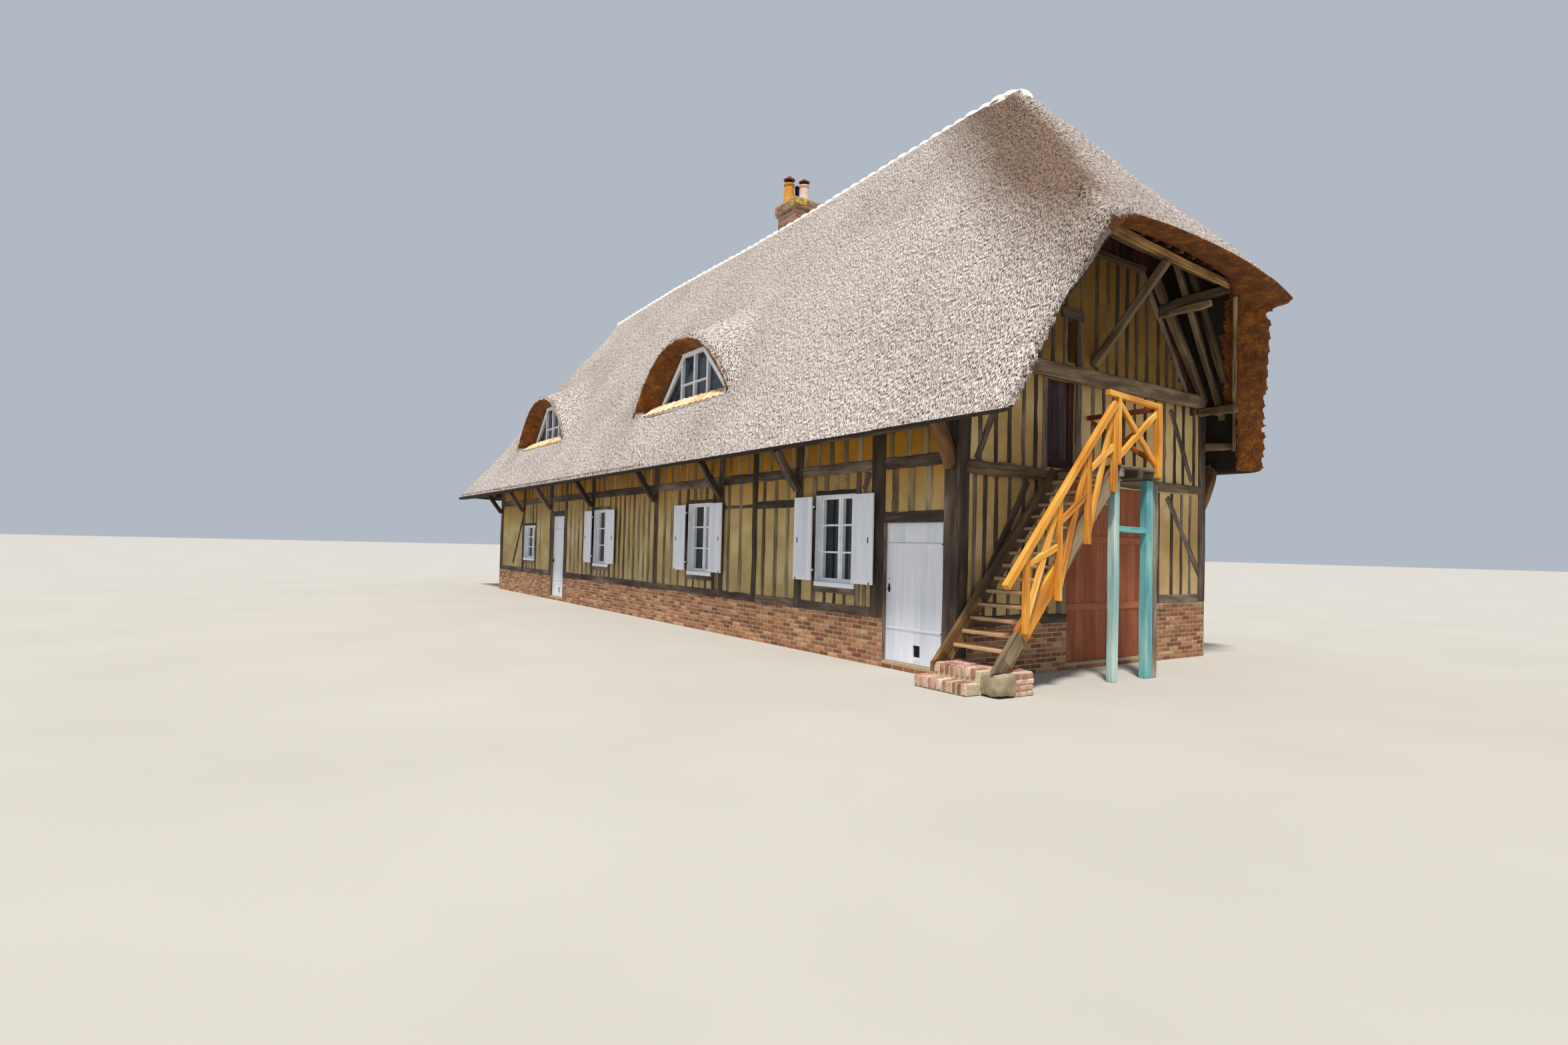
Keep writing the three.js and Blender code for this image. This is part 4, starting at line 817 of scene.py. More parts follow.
# %% Bevelled blocks
def block(cuts):
    deselect()
    bpy.ops.mesh.primitive_cube_add(size=2)
    cube = bpy.context.object
    edit(cube, "EDGE")
    bpy.ops.mesh.select_all(action="DESELECT")
    done()
    for rib in cube.data.edges:
        one, two = (cube.data.vertices[i].co for i in rib.vertices)
        rib.select = abs(one.x - two.x) > 1
    edit(cube, "EDGE")
    if cuts:
        bpy.ops.mesh.subdivide(number_cuts=cuts)
    bpy.ops.mesh.select_all(action="DESELECT")
    bpy.ops.mesh.edges_select_sharp(sharpness=math.radians(60))
    bpy.ops.mesh.bevel(offset=0.1, segments=1, affect="EDGES")
    done()
    return shape_of(cube)


def gather(points, polygons, finish, grain=None, tone=None):
    piece = drawn(in_part(points), faces=polygons)
    if grain is not None:
        piece.data.attributes.new("grain", "FLOAT_VECTOR", "POINT").data.foreach_set("vector", np.ravel(grain))
    if tone is not None:
        piece.data.attributes.new("tone", "FLOAT", "POINT").data.foreach_set("value", np.ravel(tone))
    put_finish(piece, finish)
    smooth(piece, 35)
    return piece


def copies(shape, members, finish, seed, edge=0.012, wave=0.004):
    """One piece from copies of a block. A member is (from, to, wide, deep, up[, bow])."""
    unit, faces = shape
    rng = np.random.default_rng(seed)
    core = np.clip(unit, -0.9, 0.9)
    steps = np.linspace(-1, 1, 9)
    points, grain, tone, polygons = [], [], [], []
    for start, end, wide, deep, up, *bow in members:
        start, end = np.asarray(start, float), np.asarray(end, float)
        length = np.linalg.norm(end - start)
        along = (end - start) / length
        side = np.cross(up, along)
        side /= np.linalg.norm(side)
        bevel = min(edge, 0.3 * min(wide, deep, length))
        size = np.array((length, wide, deep))
        local = core / 0.9 * (size / 2 - bevel) + (unit - core) / 0.1 * bevel
        for axis in (1, 2):
            for sign in (-1, 1):
                moved = np.sign(unit[:, axis]) == sign
                local[moved, axis] += np.interp(unit[moved, 0], steps, rng.normal(0, wave, 9))
        if bow:
            local[:, 2] += bow[0] * (1 - unit[:, 0] ** 2)
        polygons += [tuple(i + len(unit) * len(points) for i in face) for face in faces]
        points.append((start + end) / 2 + local @ np.array((along, side, np.cross(along, side))))
        grain.append(local + rng.uniform(0, 40, 3))
        tone.append(np.full(len(unit), rng.random()))
    return gather(np.concatenate(points), polygons, finish, np.concatenate(grain), np.concatenate(tone))


TIMBER, BOARD = block(10), block(0)


def put_up(name, members, finish, seed, slot="timber", stands_for=(), shape=TIMBER, **hand):
    """A piece that is all of one block and one finish, and that rides on the house."""
    return belongs(copies(shape, members, finish, seed, **hand), name, stands_for=stands_for)


print("timber block:", len(TIMBER[1]), "faces; board block:", len(BOARD[1]), "faces")

# %% [markdown]
# A wall is measured by its own two directions: along, and up, with a third that points out of the
# house. The same list of members can then go on any of the four walls, or round the chimney.


# %% Walls as drawing boards
def wall_at(x0, x1, y0, y1):
    return {
        "front": (lambda a, out, z: (a, y0 - out, z), (0, -1, 0)),
        "back": (lambda a, out, z: (a, y1 + out, z), (0, 1, 0)),
        "gable": (lambda a, out, z: (x1 + out, a, z), (1, 0, 0)),
        "left": (lambda a, out, z: (x0 - out, a, z), (-1, 0, 0)),
    }


HOUSE_WALLS = wall_at(-LENGTH, 0, 0, DEPTH)
SUNK, BRACE_WIDE, BRACE_OUT, STUD_ROOM = 0.03, 0.11, 0.004, 0.06


def flat_on(wall, members, proud=0.0, deep=SUNK, walls=HOUSE_WALLS):
    """Members given as (from, to, low, high[, proud]) on a wall."""
    put, outside = walls[wall]
    placed = []
    for a, b, low, high, *own in members:
        out = own[0] if own else proud
        middle = (out - deep) / 2
        if b - a > high - low:
            ends, wide = (put(a, middle, (low + high) / 2), put(b, middle, (low + high) / 2)), high - low
        else:
            ends, wide = (put((a + b) / 2, middle, low), put((a + b) / 2, middle, high)), b - a
        placed.append((*ends, wide, out + deep, outside))
    return placed


def slants_on(wall, members):
    """Braces given by the two ends (along, up) of their middle lines."""
    put, outside = HOUSE_WALLS[wall]
    middle, deep = (BRACE_OUT - SUNK) / 2, BRACE_OUT + SUNK
    return [(put(a, middle, za), put(b, middle, zb), BRACE_WIDE, deep, outside) for (a, za), (b, zb) in members]


def studs(places, low, high, wide=0.085):
    return [(a - wide / 2, a + wide / 2, low, high) for a in places]


def spaced(start, end, count):
    return [start + (end - start) * (i + 1) / (count + 1) for i in range(count)]


def gaps(posts):
    """The stretches between neighbouring posts."""
    return [(a[1], b[0]) for a, b in zip(posts, posts[1:])]


def clear_of(places, posts):
    """The places that no post takes."""
    return [a for a in places if all(not p - STUD_ROOM < a < q + STUD_ROOM for p, q in posts)]


print("walls:", ", ".join(HOUSE_WALLS))

# %% [markdown]
# ## Front timbers
# The front has full posts at the bay lines, a girt above the windows, a sill beam on the bricks,
# and close studs between: dry ones below, and wider limewashed ones above the openings and the
# girt. Posts and rails stand a few millimetres proud, and rails stop at posts, as the joints are
# pegged there. The corner post is the largest.

# %% Front wall
TOP, GIRT, SILL = 3.94, (2.72, 2.885), (0.58, 0.72)
FRONT_WINDOWS = {"right": (-3.075, -2.075, 2.41), "middle": (-7.45, -6.45, 2.41),
                 "left": (-12.66, -11.66, 2.41), "far_left": (-18.65, -17.55, 2.06)}
FRONT_DOOR, LEFT_DOOR = (-1.434, -0.249, 1.965), (-15.96, -14.92, 2.32)
WINDOW_SILL, CORNER_POST = 0.97, (-0.27, 0.012)


def surround(x0, x1, head):
    """Posts, head and sill of a window opening."""
    return [(x0 - 0.10, x0, SILL[1], GIRT[0], 0.006), (x1, x1 + 0.10, SILL[1], GIRT[0], 0.006),
            (x0, x1, head, head + 0.07, 0.006), (x0, x1, WINDOW_SILL - 0.09, WINDOW_SILL, 0.006)]


posts = [(-1.72, -1.434), (-3.64, -3.46), (-4.98, -4.84), (-6.2, -6.02), (-9.08, -8.9), (-12.86, -12.67),
         (-14.92, -14.72), (-16.16, -15.96), (-18.85, -18.65), (-21.4, -21.13)]
bays = gaps(posts[::-1] + [CORNER_POST])
members = [(a, b, SILL[0], TOP, 0.012) for a, b in posts]
members += [(a, b, *GIRT, 0.010) for a, b in bays]
members += [(a, b, *SILL, 0.010) for a, b in bays if a not in (FRONT_DOOR[0], LEFT_DOOR[0])]
members += [(FRONT_DOOR[0], CORNER_POST[0], 1.97, 2.11, 0.010), (*LEFT_DOOR[:2], 2.325, 2.45, 0.010)]
members += [(-6.02, -4.98, 2.27, 2.33), (-4.84, -3.64, 2.24, 2.37, 0.008)]
for x0, x1, head in FRONT_WINDOWS.values():
    members += surround(x0, x1, head) + studs(spaced(x0, x1, 3), SILL[1], WINDOW_SILL - 0.09, 0.07)
dry = studs([-5.41, -4.62, -4.24, -3.89, -5.84], SILL[1], GIRT[0], 0.10)
dry += studs(spaced(-8.9, -7.55, 3) + spaced(-11.56, -9.08, 8) + spaced(-14.72, -12.86, 5), SILL[1], GIRT[0], 0.10)
dry += studs([-17.08, -6.29, -1.86], SILL[1], GIRT[0], 0.08)
limed = studs(spaced(*LEFT_DOOR[:2], 3), 2.45, GIRT[0], 0.12) + studs([-1.222, -0.889, -0.56], 2.11, GIRT[0], 0.135)
for x0, x1, head in FRONT_WINDOWS.values():
    limed += studs(spaced(x0, x1, 3), head + 0.07, GIRT[0], 0.12)
limed += studs(clear_of(spaced(-18.65, CORNER_POST[0], 52), posts), GIRT[1], TOP, 0.105)
braces = slants_on("front", [((-18.72, 2.55), (-19.85, 0.85)), ((-1.9, 2.46), (-1.78, 2.7))])
put_up("front_dry_studs", flat_on("front", dry), stud_oak, 10)
put_up("front_limed_studs", flat_on("front", limed), limed_oak, 14)
put_up("front_timber_frame", flat_on("front", members) + braces, dark_oak, 11, stands_for=("front_timbers",))
corner = flat_on("front", [(*CORNER_POST, SILL[0] - 0.64, TOP, 0.016)])
corner += flat_on("gable", [(-0.016, 0.19, SILL[0] - 0.64, TOP - 0.05, 0.014)])
put_up("front_corner_posts", corner, dark_oak, 12, edge=0.02, wave=0.008)
print("front timbers:", len(members) + len(dry) + len(limed))

# %% [markdown]
# ## Gable timbers
# The gable shows four bands: close studs behind the stair, the middle band with the upper door,
# the triangle under the half-hip, and dark boards over the collar. More dark boards fill the gap
# behind the back rafter under the thatch, where there is only shade: painted shade. The tie beam and
# the lower girt are heavy, weathered brown, and stand well out of the wall.


# %% Gable wall
def under_thatch(y, inset=0.0):
    """Height of the thatch's underside over the gable wall."""
    return min(RIDGE_Z - THATCH * math.hypot(1, FRONT_PITCH) - FRONT_PITCH * abs(y - RIDGE_Y),
               RIDGE_Z + HALF_HIP_PITCH * HALF_HIP_APEX - THATCH * math.hypot(1, HALF_HIP_PITCH)) - inset


def wall_edge(y):
    """Height of the slanting edge of the daub, behind the rafter at the back."""
    return 6.14 - (y - 4.08) * (6.14 - 4.29) / (5.38 - 4.08) if y > 4.08 else 9.0


LOW_GIRT, TIE, COLLAR, LAP = (2.604, 2.767), (4.086, 4.31), (6.05, 6.19), -0.05
middle_band = [0.39, 0.70, 0.97, 1.26, 1.51, 2.83, 3.10, 3.36, 3.62, 3.91, 4.20, 4.50, 4.75, 5.06, 5.32, 5.65]
triangle = [0.75, 1.05, 1.33, 1.60, 1.88, 2.16, 2.54, 2.90, 3.18, 3.42, 3.68, 3.94, 4.23, 4.55, 4.80, 5.02]
members = studs(middle_band, LOW_GIRT[1], TIE[0], 0.075)
members += studs([0.30, 0.50, 0.72, 0.99, 1.28, 1.55, 1.80, 2.06], SILL[1], LOW_GIRT[0], 0.075)
members += studs([4.99, 5.28, 5.54], 0.95, LOW_GIRT[0], 0.075)
members += [(1.66, 1.76, LOW_GIRT[1], TIE[0], 0.006), (2.42, 2.54, LOW_GIRT[1], TIE[0], 0.006)]
members += [(2.11, 2.20, TIE[1], 5.15, 0.006), (2.40, 2.50, TIE[1], 5.15, 0.02), (2.05, 2.56, 5.0, 5.15, 0.03)]
members += [(0.19, 2.25, *SILL, 0.006), (4.44, 5.8, 0.82, 0.95, 0.010), (2.13, 2.25, SILL[0], LOW_GIRT[0])]
members += [(4.5, 4.62, 0.82, LOW_GIRT[0], 0.010), (5.80, 6.0, 0.82, 4.12, 0.012)]
braces = slants_on("gable", [((0.45, 1.10), (1.37, 2.58)), ((0.33, 2.80), (0.86, 3.90)), ((4.92, 3.98), (5.59, 2.84)),
    ((4.85, 2.53), (5.88, 1.23)), ((5.43, 4.29), (3.98, 6.2))])
high = [(a - 0.042, a + 0.042, TIE[1], min(COLLAR[0], under_thatch(a, -0.03), wall_edge(a))) for a in triangle]
gable_frame = join(copies(TIMBER, flat_on("gable", members) + braces, dark_oak, 13),
    copies(TIMBER, flat_on("gable", high), smoked_oak, 16))
belongs(gable_frame, "gable_timber_frame", stands_for=("gable_timbers",))
heavy = [(0.10, 1.70, *LOW_GIRT, 0.09), (2.82, 5.86, LOW_GIRT[0] + 0.02, LOW_GIRT[1], 0.05), (0.75, 5.86, *TIE, 0.11)]
collar = [(1.45, 4.12, COLLAR[0] + 0.02, COLLAR[1] - 0.02, 0.04)]
belongs(join(copies(TIMBER, flat_on("gable", heavy), brown_oak, 14, edge=0.035, wave=0.009),
    copies(TIMBER, flat_on("gable", collar), smoked_oak, 17)), "gable_beams")
boards = [(a, a + 0.165, COLLAR[1] - 0.02, under_thatch(a + 0.08, LAP)) for a in np.arange(1.42, 4.2, 0.17)]
# Painted shade: these boards behind the back rafter fill the shaded gap under the thatch
boards += [(a, a + 0.115, wall_edge(a + 0.06) - 0.05, under_thatch(a + 0.06, LAP)) for a in np.arange(4.2, 5.62, 0.12)]
boards = [board for board in boards if board[3] - board[2] > 0.08]
put_up("gable_boards_and_shadow_fill", flat_on("gable", boards, deep=0.029, proud=-0.006), gable_board, 15, shape=BOARD, edge=0.004,
    wave=0.001)
print("gable timbers:", len(members) + len(heavy), "and", len(boards), "boards")

# %% [markdown]
# ## Back and left timbers
# Nobody sees these in the picture. They follow the same building: bay posts, girt, sill beam,
# window frames and close studs.

# %% Back and left walls
BACK_WINDOWS = {"back_right": (-5.6, -4.6, 2.41), "back_left": (-15.4, -14.4, 2.41)}


def post_and_rail(posts):
    return [(a, b, SILL[0], TOP, 0.012) for a, b in posts] + [(*gap, *rail, 0.010) for gap in gaps(posts)
        for rail in (GIRT, SILL)]


bay = (LENGTH - 0.2) / 8
back_posts = [(-LENGTH + i * bay, -LENGTH + i * bay + 0.2) for i in range(9)]
taken = back_posts + [(x0 - 0.1, x1 + 0.1) for x0, x1, _ in BACK_WINDOWS.values()]
places = spaced(-LENGTH, 0, 58)
members = post_and_rail(back_posts) + [rail for window in BACK_WINDOWS.values() for rail in surround(*window)]
members += studs(clear_of(places, taken), SILL[1], GIRT[0]) + studs(clear_of(places, back_posts), GIRT[1], TOP)
put_up("back_timber_frame", flat_on("back", members), dark_oak, 16, stands_for=("back_timbers",))
places = [a for a in spaced(0.1, 5.9, 17) if abs(a - 3) > 0.16]
members = post_and_rail([(0, 0.2), (2.9, 3.1), (5.8, 6.0)])
members += studs(places, SILL[1], GIRT[0]) + studs(places, GIRT[1], TOP + 0.3)
braces = slants_on("left", [((0.3, 0.8), (1.3, 2.6)), ((5.7, 0.8), (4.7, 2.6))])
put_up("left_timber_frame", flat_on("left", members) + braces, dark_oak, 17, stands_for=("left_timbers",))
print("back and left frames done")

# %% [markdown]
# ## Eave brackets and the half-hip's truss
# Slanting braces carry an outer plate under the eaves. The front plate sits a little higher, tucked
# behind the eave. Under the half-hip the inner plate, a long strut, cantilevers and the rafters at
# the back are weathered oak, and the outer plate, which the sun reaches, is paler.


# %% Brackets and truss
PLATE_OUT, PLATE_Z, LEFT_OUT, FRONT_TUCK = 0.48, 3.15, 1.3, 0.06
UPWARD, ALONG_WALL, GABLE_OUT, FACING_OUT = (0, 0, 1), (0, 1, 0), (1, 0, 0), (0, -1, 0)
PLATE_X = -LENGTH - LEFT_OUT
brace_xs = [-21.265, -18.75, -16.06, -12.76, -8.98, -6.1, -3.54]
stretch = [PLATE_X, -18.4, -15.2, -12.0, -8.6, -5.3, -2.4, -0.15]
for side, foot, plate, plate_z in (("front", -0.03, -PLATE_OUT, PLATE_Z + FRONT_TUCK),
                                   ("back", DEPTH + 0.03, DEPTH + PLATE_OUT, PLATE_Z)):
    members = [((a, plate, plate_z), (b, plate, plate_z), 0.13, 0.12, UPWARD) for a, b in zip(stretch, stretch[1:])]
    members += [((x, foot, 2.52), (x, plate, PLATE_Z), 0.12, 0.12, UPWARD, -0.02) for x in brace_xs]
    put_up("eave_plate_" + side, members, dark_oak, 21, stands_for=("eave_brackets_" + side,))
members = [((PLATE_X, a, PLATE_Z), (PLATE_X, b, PLATE_Z), 0.13, 0.12, UPWARD) for a, b in ((-0.41, 3.0), (3.0, 6.41))]
members += [((-LENGTH - 0.03, y, 1.97), (PLATE_X, y, PLATE_Z), 0.12, 0.11, UPWARD, -0.03) for y in (0.7, 3.0, 5.3)]
put_up("eave_plate_left", members, dark_oak, 22, stands_for=("eave_brackets_left",))
knees = [((-0.12, -0.03, 2.68), (-0.12, -0.43, 3.32), 0.13, 0.20, UPWARD, 0.05),
         ((-0.14, DEPTH + 0.02, 2.36), (-0.14, DEPTH + PLATE_OUT, 3.12), 0.15, 0.15, UPWARD, -0.07)]
put_up("corner_knee_braces", knees, brace_oak, 23, edge=0.02)


def back_rafter(x, z):
    """A point on the middle line of a rafter at the back, at a height."""
    return (x, RIDGE_Y + (RIDGE_Z - THATCH * math.hypot(1, FRONT_PITCH) - 0.1 - z) / FRONT_PITCH, z)


lit = [((1.02, 1.60, 5.905), (1.0, 4.93, 5.765), 0.11, 0.085, UPWARD, -0.015)]
truss = [((0.87, 1.8, 5.95), (0.87, 4.7, 5.86), 0.13, 0.12, UPWARD),
         ((0.0, 2.81, 4.4), (1.0, 3.05, 5.76), 0.11, 0.12, UPWARD),
         ((0.0, 4.55, 5.56), (1.06, 4.91, 5.74), 0.11, 0.12, UPWARD, 0.03),
         ((0.0, 4.56, 5.47), (0.76, 4.72, 5.54), 0.10, 0.11, UPWARD),
         ((0.0, 5.79, 4.03), (0.62, 5.79, 4.03), 0.12, 0.13, UPWARD),
         ((0.0, 5.93, 3.45), (0.26, 6.33, 3.49), 0.11, 0.12, UPWARD),
         (back_rafter(0.3, 3.9), back_rafter(0.3, 6.3), 0.09, 0.11, UPWARD),
         (back_rafter(0.5, 4.45), back_rafter(0.5, 6.1), 0.09, 0.11, UPWARD),
         (back_rafter(0.33, 3.4), back_rafter(1.03, 5.62), 0.06, 0.11, UPWARD),
         ((0.07, 5.83, 4.18), (0.07, 4.26, 6.07), 0.13, 0.12, GABLE_OUT)]
dull = copies(TIMBER, truss, brown_oak, 24, edge=0.016, wave=0.006)
belongs(join(dull, copies(TIMBER, lit, bare_oak, 26, wave=0.006)), "half_hip_truss",
    stands_for=("gable_truss",))
tails = [((0.9, y, 6.07 - 0.03 * y), (1.10, y, 6.03 - 0.035 * y), 0.07, 0.06, UPWARD) for y in spaced(1.7, 4.85, 9)]
put_up("rafter_tails", tails, brace_oak, 25, edge=0.006, wave=0.002)
print("truss members:", len(truss) + len(lit), "and", len(tails), "rafter tails")

# %% [markdown]
# ## Daub panels
# The panels sit a centimetre or two behind the timber faces and are never flat. A grid is laid over
# the wall, bisected along every opening, the faces in the openings are deleted, and the sheet gets
# its thickness and a gentle unevenness. The solid wall behind it keeps the opening's depth.

# %% Daub sheets
DAUB_GRID, DAUB_BEHIND, DAUB_THICK = 0.16, -0.013, 0.014
ACROSS, UP = (1, 0, 0), (0, 1, 0)


def daub_sheet(name, wall, a0, a1, low, high, holes, finish, cuts=()):
    deselect()
    bpy.ops.mesh.primitive_grid_add(x_subdivisions=int((a1 - a0) / DAUB_GRID),
        y_subdivisions=int((high - low) / DAUB_GRID), size=2)
    sheet = bpy.context.object
    flat = corners(sheet)
    flat[:, 0] = (a0 + a1) / 2 + flat[:, 0] * (a1 - a0) / 2
    flat[:, 1] = (low + high) / 2 + flat[:, 1] * (high - low) / 2
    set_corners(sheet, flat)
    edit(sheet)
    for b0, b1, z0, z1 in holes:
        for place, direction in (((b0, 0, 0), ACROSS), ((b1, 0, 0), ACROSS), ((0, z0, 0), UP), ((0, z1, 0), UP)):
            bpy.ops.mesh.select_all(action="SELECT")
            bpy.ops.mesh.bisect(plane_co=place, plane_no=direction)
    for place, direction in cuts:
        bpy.ops.mesh.select_all(action="SELECT")
        bpy.ops.mesh.bisect(plane_co=place, plane_no=direction, clear_outer=True)
    bpy.ops.mesh.select_all(action="DESELECT")
    done()
    for face in sheet.data.polygons:
        a, z, _ = face.center
        face.select = any(b0 < a < b1 and z0 < z < z1 for b0, b1, z0, z1 in holes)
    edit(sheet)
    bpy.ops.mesh.delete(type="FACE")
    done()
    put, _ = HOUSE_WALLS[wall]
    rng = np.random.default_rng(int(a0 * 10 + low * 100) % 97)
    a, z, _ = corners(sheet).T
    waver = sum(np.sin(a * rng.uniform(1, 6) + rng.uniform(0, 6)) * np.sin(z * rng.uniform(1, 6) + rng.uniform(0, 6))
        for _ in range(6)) * 0.0016
    set_corners(sheet, in_part(np.stack(put(a, DAUB_BEHIND + waver, z), axis=1)))
    finish_with(sheet, "SOLIDIFY", thickness=DAUB_THICK, offset=1.0 if wall in ("back", "left") else -1.0)
    face_outward(sheet)
    put_finish(sheet, finish)
    smooth(sheet)
    return belongs(sheet, name)


front_holes = [(x0, x1, WINDOW_SILL, head) for x0, x1, head in FRONT_WINDOWS.values()]
front_holes += [(x0, x1, 0.0, head) for x0, x1, head in (FRONT_DOOR, LEFT_DOOR)]
back_holes = [(x0, x1, WINDOW_SILL, head) for x0, x1, head in BACK_WINDOWS.values()]
upper_door = (1.76, 2.42, 2.8, 4.08)
low_holes = [upper_door, (2.25, 4.5, 0.0, 2.6), (4.5, 6.0, 0.0, 0.82)]
under_slopes = [((RIDGE_Y - (8.7585 - 4) / FRONT_PITCH, 4.0, 0), (-1, 1 / FRONT_PITCH, 0)),
                ((5.38, 4.29, 0), (1, 1.3 / 1.85, 0))]
daub_sheet("front_daub", "front", -LENGTH + 0.02, -0.02, 0.6, TOP - 0.02, front_holes, ochre_daub)
daub_sheet("back_daub", "back", -LENGTH + 0.02, -0.02, 0.6, TOP - 0.02, back_holes, ochre_daub)
daub_sheet("left_daub", "left", 0.02, 5.98, 0.6, TOP + 0.25, [], ochre_daub)
daub_sheet("gable_daub_low", "gable", 0.02, 5.98, 0.6, 4.0, low_holes, cream_daub)
daub_sheet("gable_daub_high", "gable", 0.1, 5.6, 4.0, 6.1, [upper_door, (2.2, 2.4, 4.37, 5.0)], cream_daub,
    cuts=under_slopes)
for name in ("front_wall", "front_wall_left", "wall_over_front_door", "wall_over_left_door", "back_wall", "left_wall"):
    put_finish(solids[name], ochre_daub)
put_finish(solids["gable_wall"], cream_daub)
put_finish(solids["upper_floor"], floorboards)
put_finish(solids["ground_floor"], floorboards)
print("daub sheets on four walls")

# %% [markdown]
# ## Brickwork
# The plinth and the stack are old hand-moulded bricks, 215 by 54 mm, with 16 mm of lime mortar. The
# solids are the mortar, and every brick is a copy of the plain block that stands 6 mm out of it,
# in running bond, with its own tone.

# %% Courses of bricks
BASE, PLINTH_TOP, THRESHOLD, CLEAR = -0.1, 0.58, -0.03, 0.004
BRICK_LONG, BRICK_TALL, JOINT = 0.215, 0.054, 0.016


def courses(wall, a0, a1, high, low=BASE + CLEAR, walls=HOUSE_WALLS, tall=BRICK_TALL):
    """Rows of bricks in running bond. Every other row starts half a brick further back."""
    members, row = [], 0
    while low + row * (tall + JOINT) + tall < high + 0.012:
        z = low + row * (tall + JOINT)
        a = a0 - (row % 2) * (BRICK_LONG + JOINT) / 2
        while a < a1 - 0.03:
            left, right = max(a, a0), min(a + BRICK_LONG, a1)
            if right - left > 0.04:
                members.append((left, right, z, min(z + tall, high)))
            a += BRICK_LONG + JOINT
        row += 1
    return flat_on(wall, members, proud=0.006, deep=0.025, walls=walls)


bricks = []
for wall, a0, a1, high in (
        ("front", -LENGTH + CLEAR, LEFT_DOOR[0] - CLEAR, PLINTH_TOP),
        ("front", LEFT_DOOR[1] + CLEAR, FRONT_DOOR[0] - CLEAR, PLINTH_TOP),
        ("front", *LEFT_DOOR[:2], THRESHOLD), ("front", *FRONT_DOOR[:2], THRESHOLD),
        ("back", -LENGTH + CLEAR, -CLEAR, PLINTH_TOP), ("left", CLEAR, DEPTH - CLEAR, PLINTH_TOP),
        ("gable", 0.2, 2.246, PLINTH_TOP), ("gable", 4.504, DEPTH - 0.036, 0.82), ("gable", 2.25, 4.5, THRESHOLD)):
    bricks += courses(wall, a0, a1, high)
put_up("plinth_bricks", bricks, wall_brick, 31, "brick", shape=BOARD, edge=0.006, wave=0.0012)
put_finish(solids["brick_plinth"], lime_mortar)
print("plinth bricks:", len(bricks))

# %% [markdown]
# The stack has corbelled courses: each step out is another ring of bricks round a larger square.
# Lichen grows on the cap in thin patches, where rain stays longest.

# %% Chimney bricks
STACK, CAP_TOP = (-9.38, -8.62, 3.31, 3.99), 10.11
bricks = []
for grow, low, high in ((0, 7.4, 9.81), (0.03, 9.81, 9.88), (0.06, 9.88, CAP_TOP)):
    x0, x1, y0, y1 = STACK[0] - grow, STACK[1] + grow, STACK[2] - grow, STACK[3] + grow
    for wall, a0, a1 in (("front", x0, x1), ("back", x0, x1), ("gable", y0, y1), ("left", y0, y1)):
        bricks += courses(wall, a0 - 0.005, a1 + 0.005, high, low + CLEAR, wall_at(x0, x1, y0, y1),
            tall=0.05 if grow else 0.056)
put_up("chimney_bricks", bricks, stack_brick, 32, "brick", shape=BOARD, edge=0.006, wave=0.0015)
put_finish(solids["chimney"], lime_mortar)
rng = np.random.default_rng(33)
patches = [((-8.56 + a - 0.05, 3.243, z), (-8.56 + a + 0.05, 3.243, z), 0.006, 0.07, UPWARD) for a, z in
    zip(rng.uniform(-0.2, -0.03, 7), rng.uniform(9.93, 10.07, 7))]
patches += [((-8.553, 3.25 + a - 0.05, z), (-8.553, 3.25 + a + 0.05, z), 0.006, 0.08, UPWARD) for a, z in
    zip(rng.uniform(0.05, 0.35, 8), rng.uniform(9.95, 10.07, 8))]
put_up("chimney_lichen", patches, lichen, 34, "brick", shape=BOARD, edge=0.002, wave=0.001)
print("chimney bricks:", len(bricks))

# %% [markdown]
# A chimney pot is thrown on a wheel, so its profile is spun round the upright axis. Each pot has a
# neck and a cap over it, and a slim flue pipe stands behind them.

# %% Chimney pots
# Every profile is a row of (radius, height) from the middle out and back
POT = [(0, 0), (0.150, 0), (0.150, 0.03), (0.143, 0.055), (0.124, 0.25), (0.110, 0.40), (0.133, 0.413), (0.136, 0.43),
       (0.132, 0.447), (0.10, 0.453), (0, 0.453)]
NECK = [(0, 0.45), (0.088, 0.45), (0.088, 0.524), (0, 0.524)]
CAP = [(0, 0.52), (0.10, 0.52), (0.145, 0.524), (0.146, 0.534), (0.10, 0.556), (0.062, 0.580), (0.05, 0.6), (0, 0.6)]
FLUE = [(0, 0), (0.055, 0), (0.055, 0.56), (0.068, 0.575), (0.068, 0.61), (0.05, 0.63), (0, 0.63)]


def spun(profile, x, y, finish, wide=1.0, tall=1.0):
    """A solid of revolution that stands on the chimney's cap."""
    piece = drawn(in_part([(x + r * wide, y, CAP_TOP + z * tall) for r, z in profile]),
        lines=[(i, i + 1) for i in range(len(profile) - 1)])
    edit_all(piece, "VERT")
    bpy.ops.mesh.spin(steps=36, angle=2 * math.pi, center=in_part((x, y, CAP_TOP)), axis=(0, 0, 1))
    bpy.ops.mesh.select_all(action="SELECT")
    bpy.ops.mesh.remove_doubles(threshold=0.0005)
    bpy.ops.mesh.normals_make_consistent(inside=False)
    done()
    put_finish(piece, finish)
    smooth(piece, 50)
    return piece


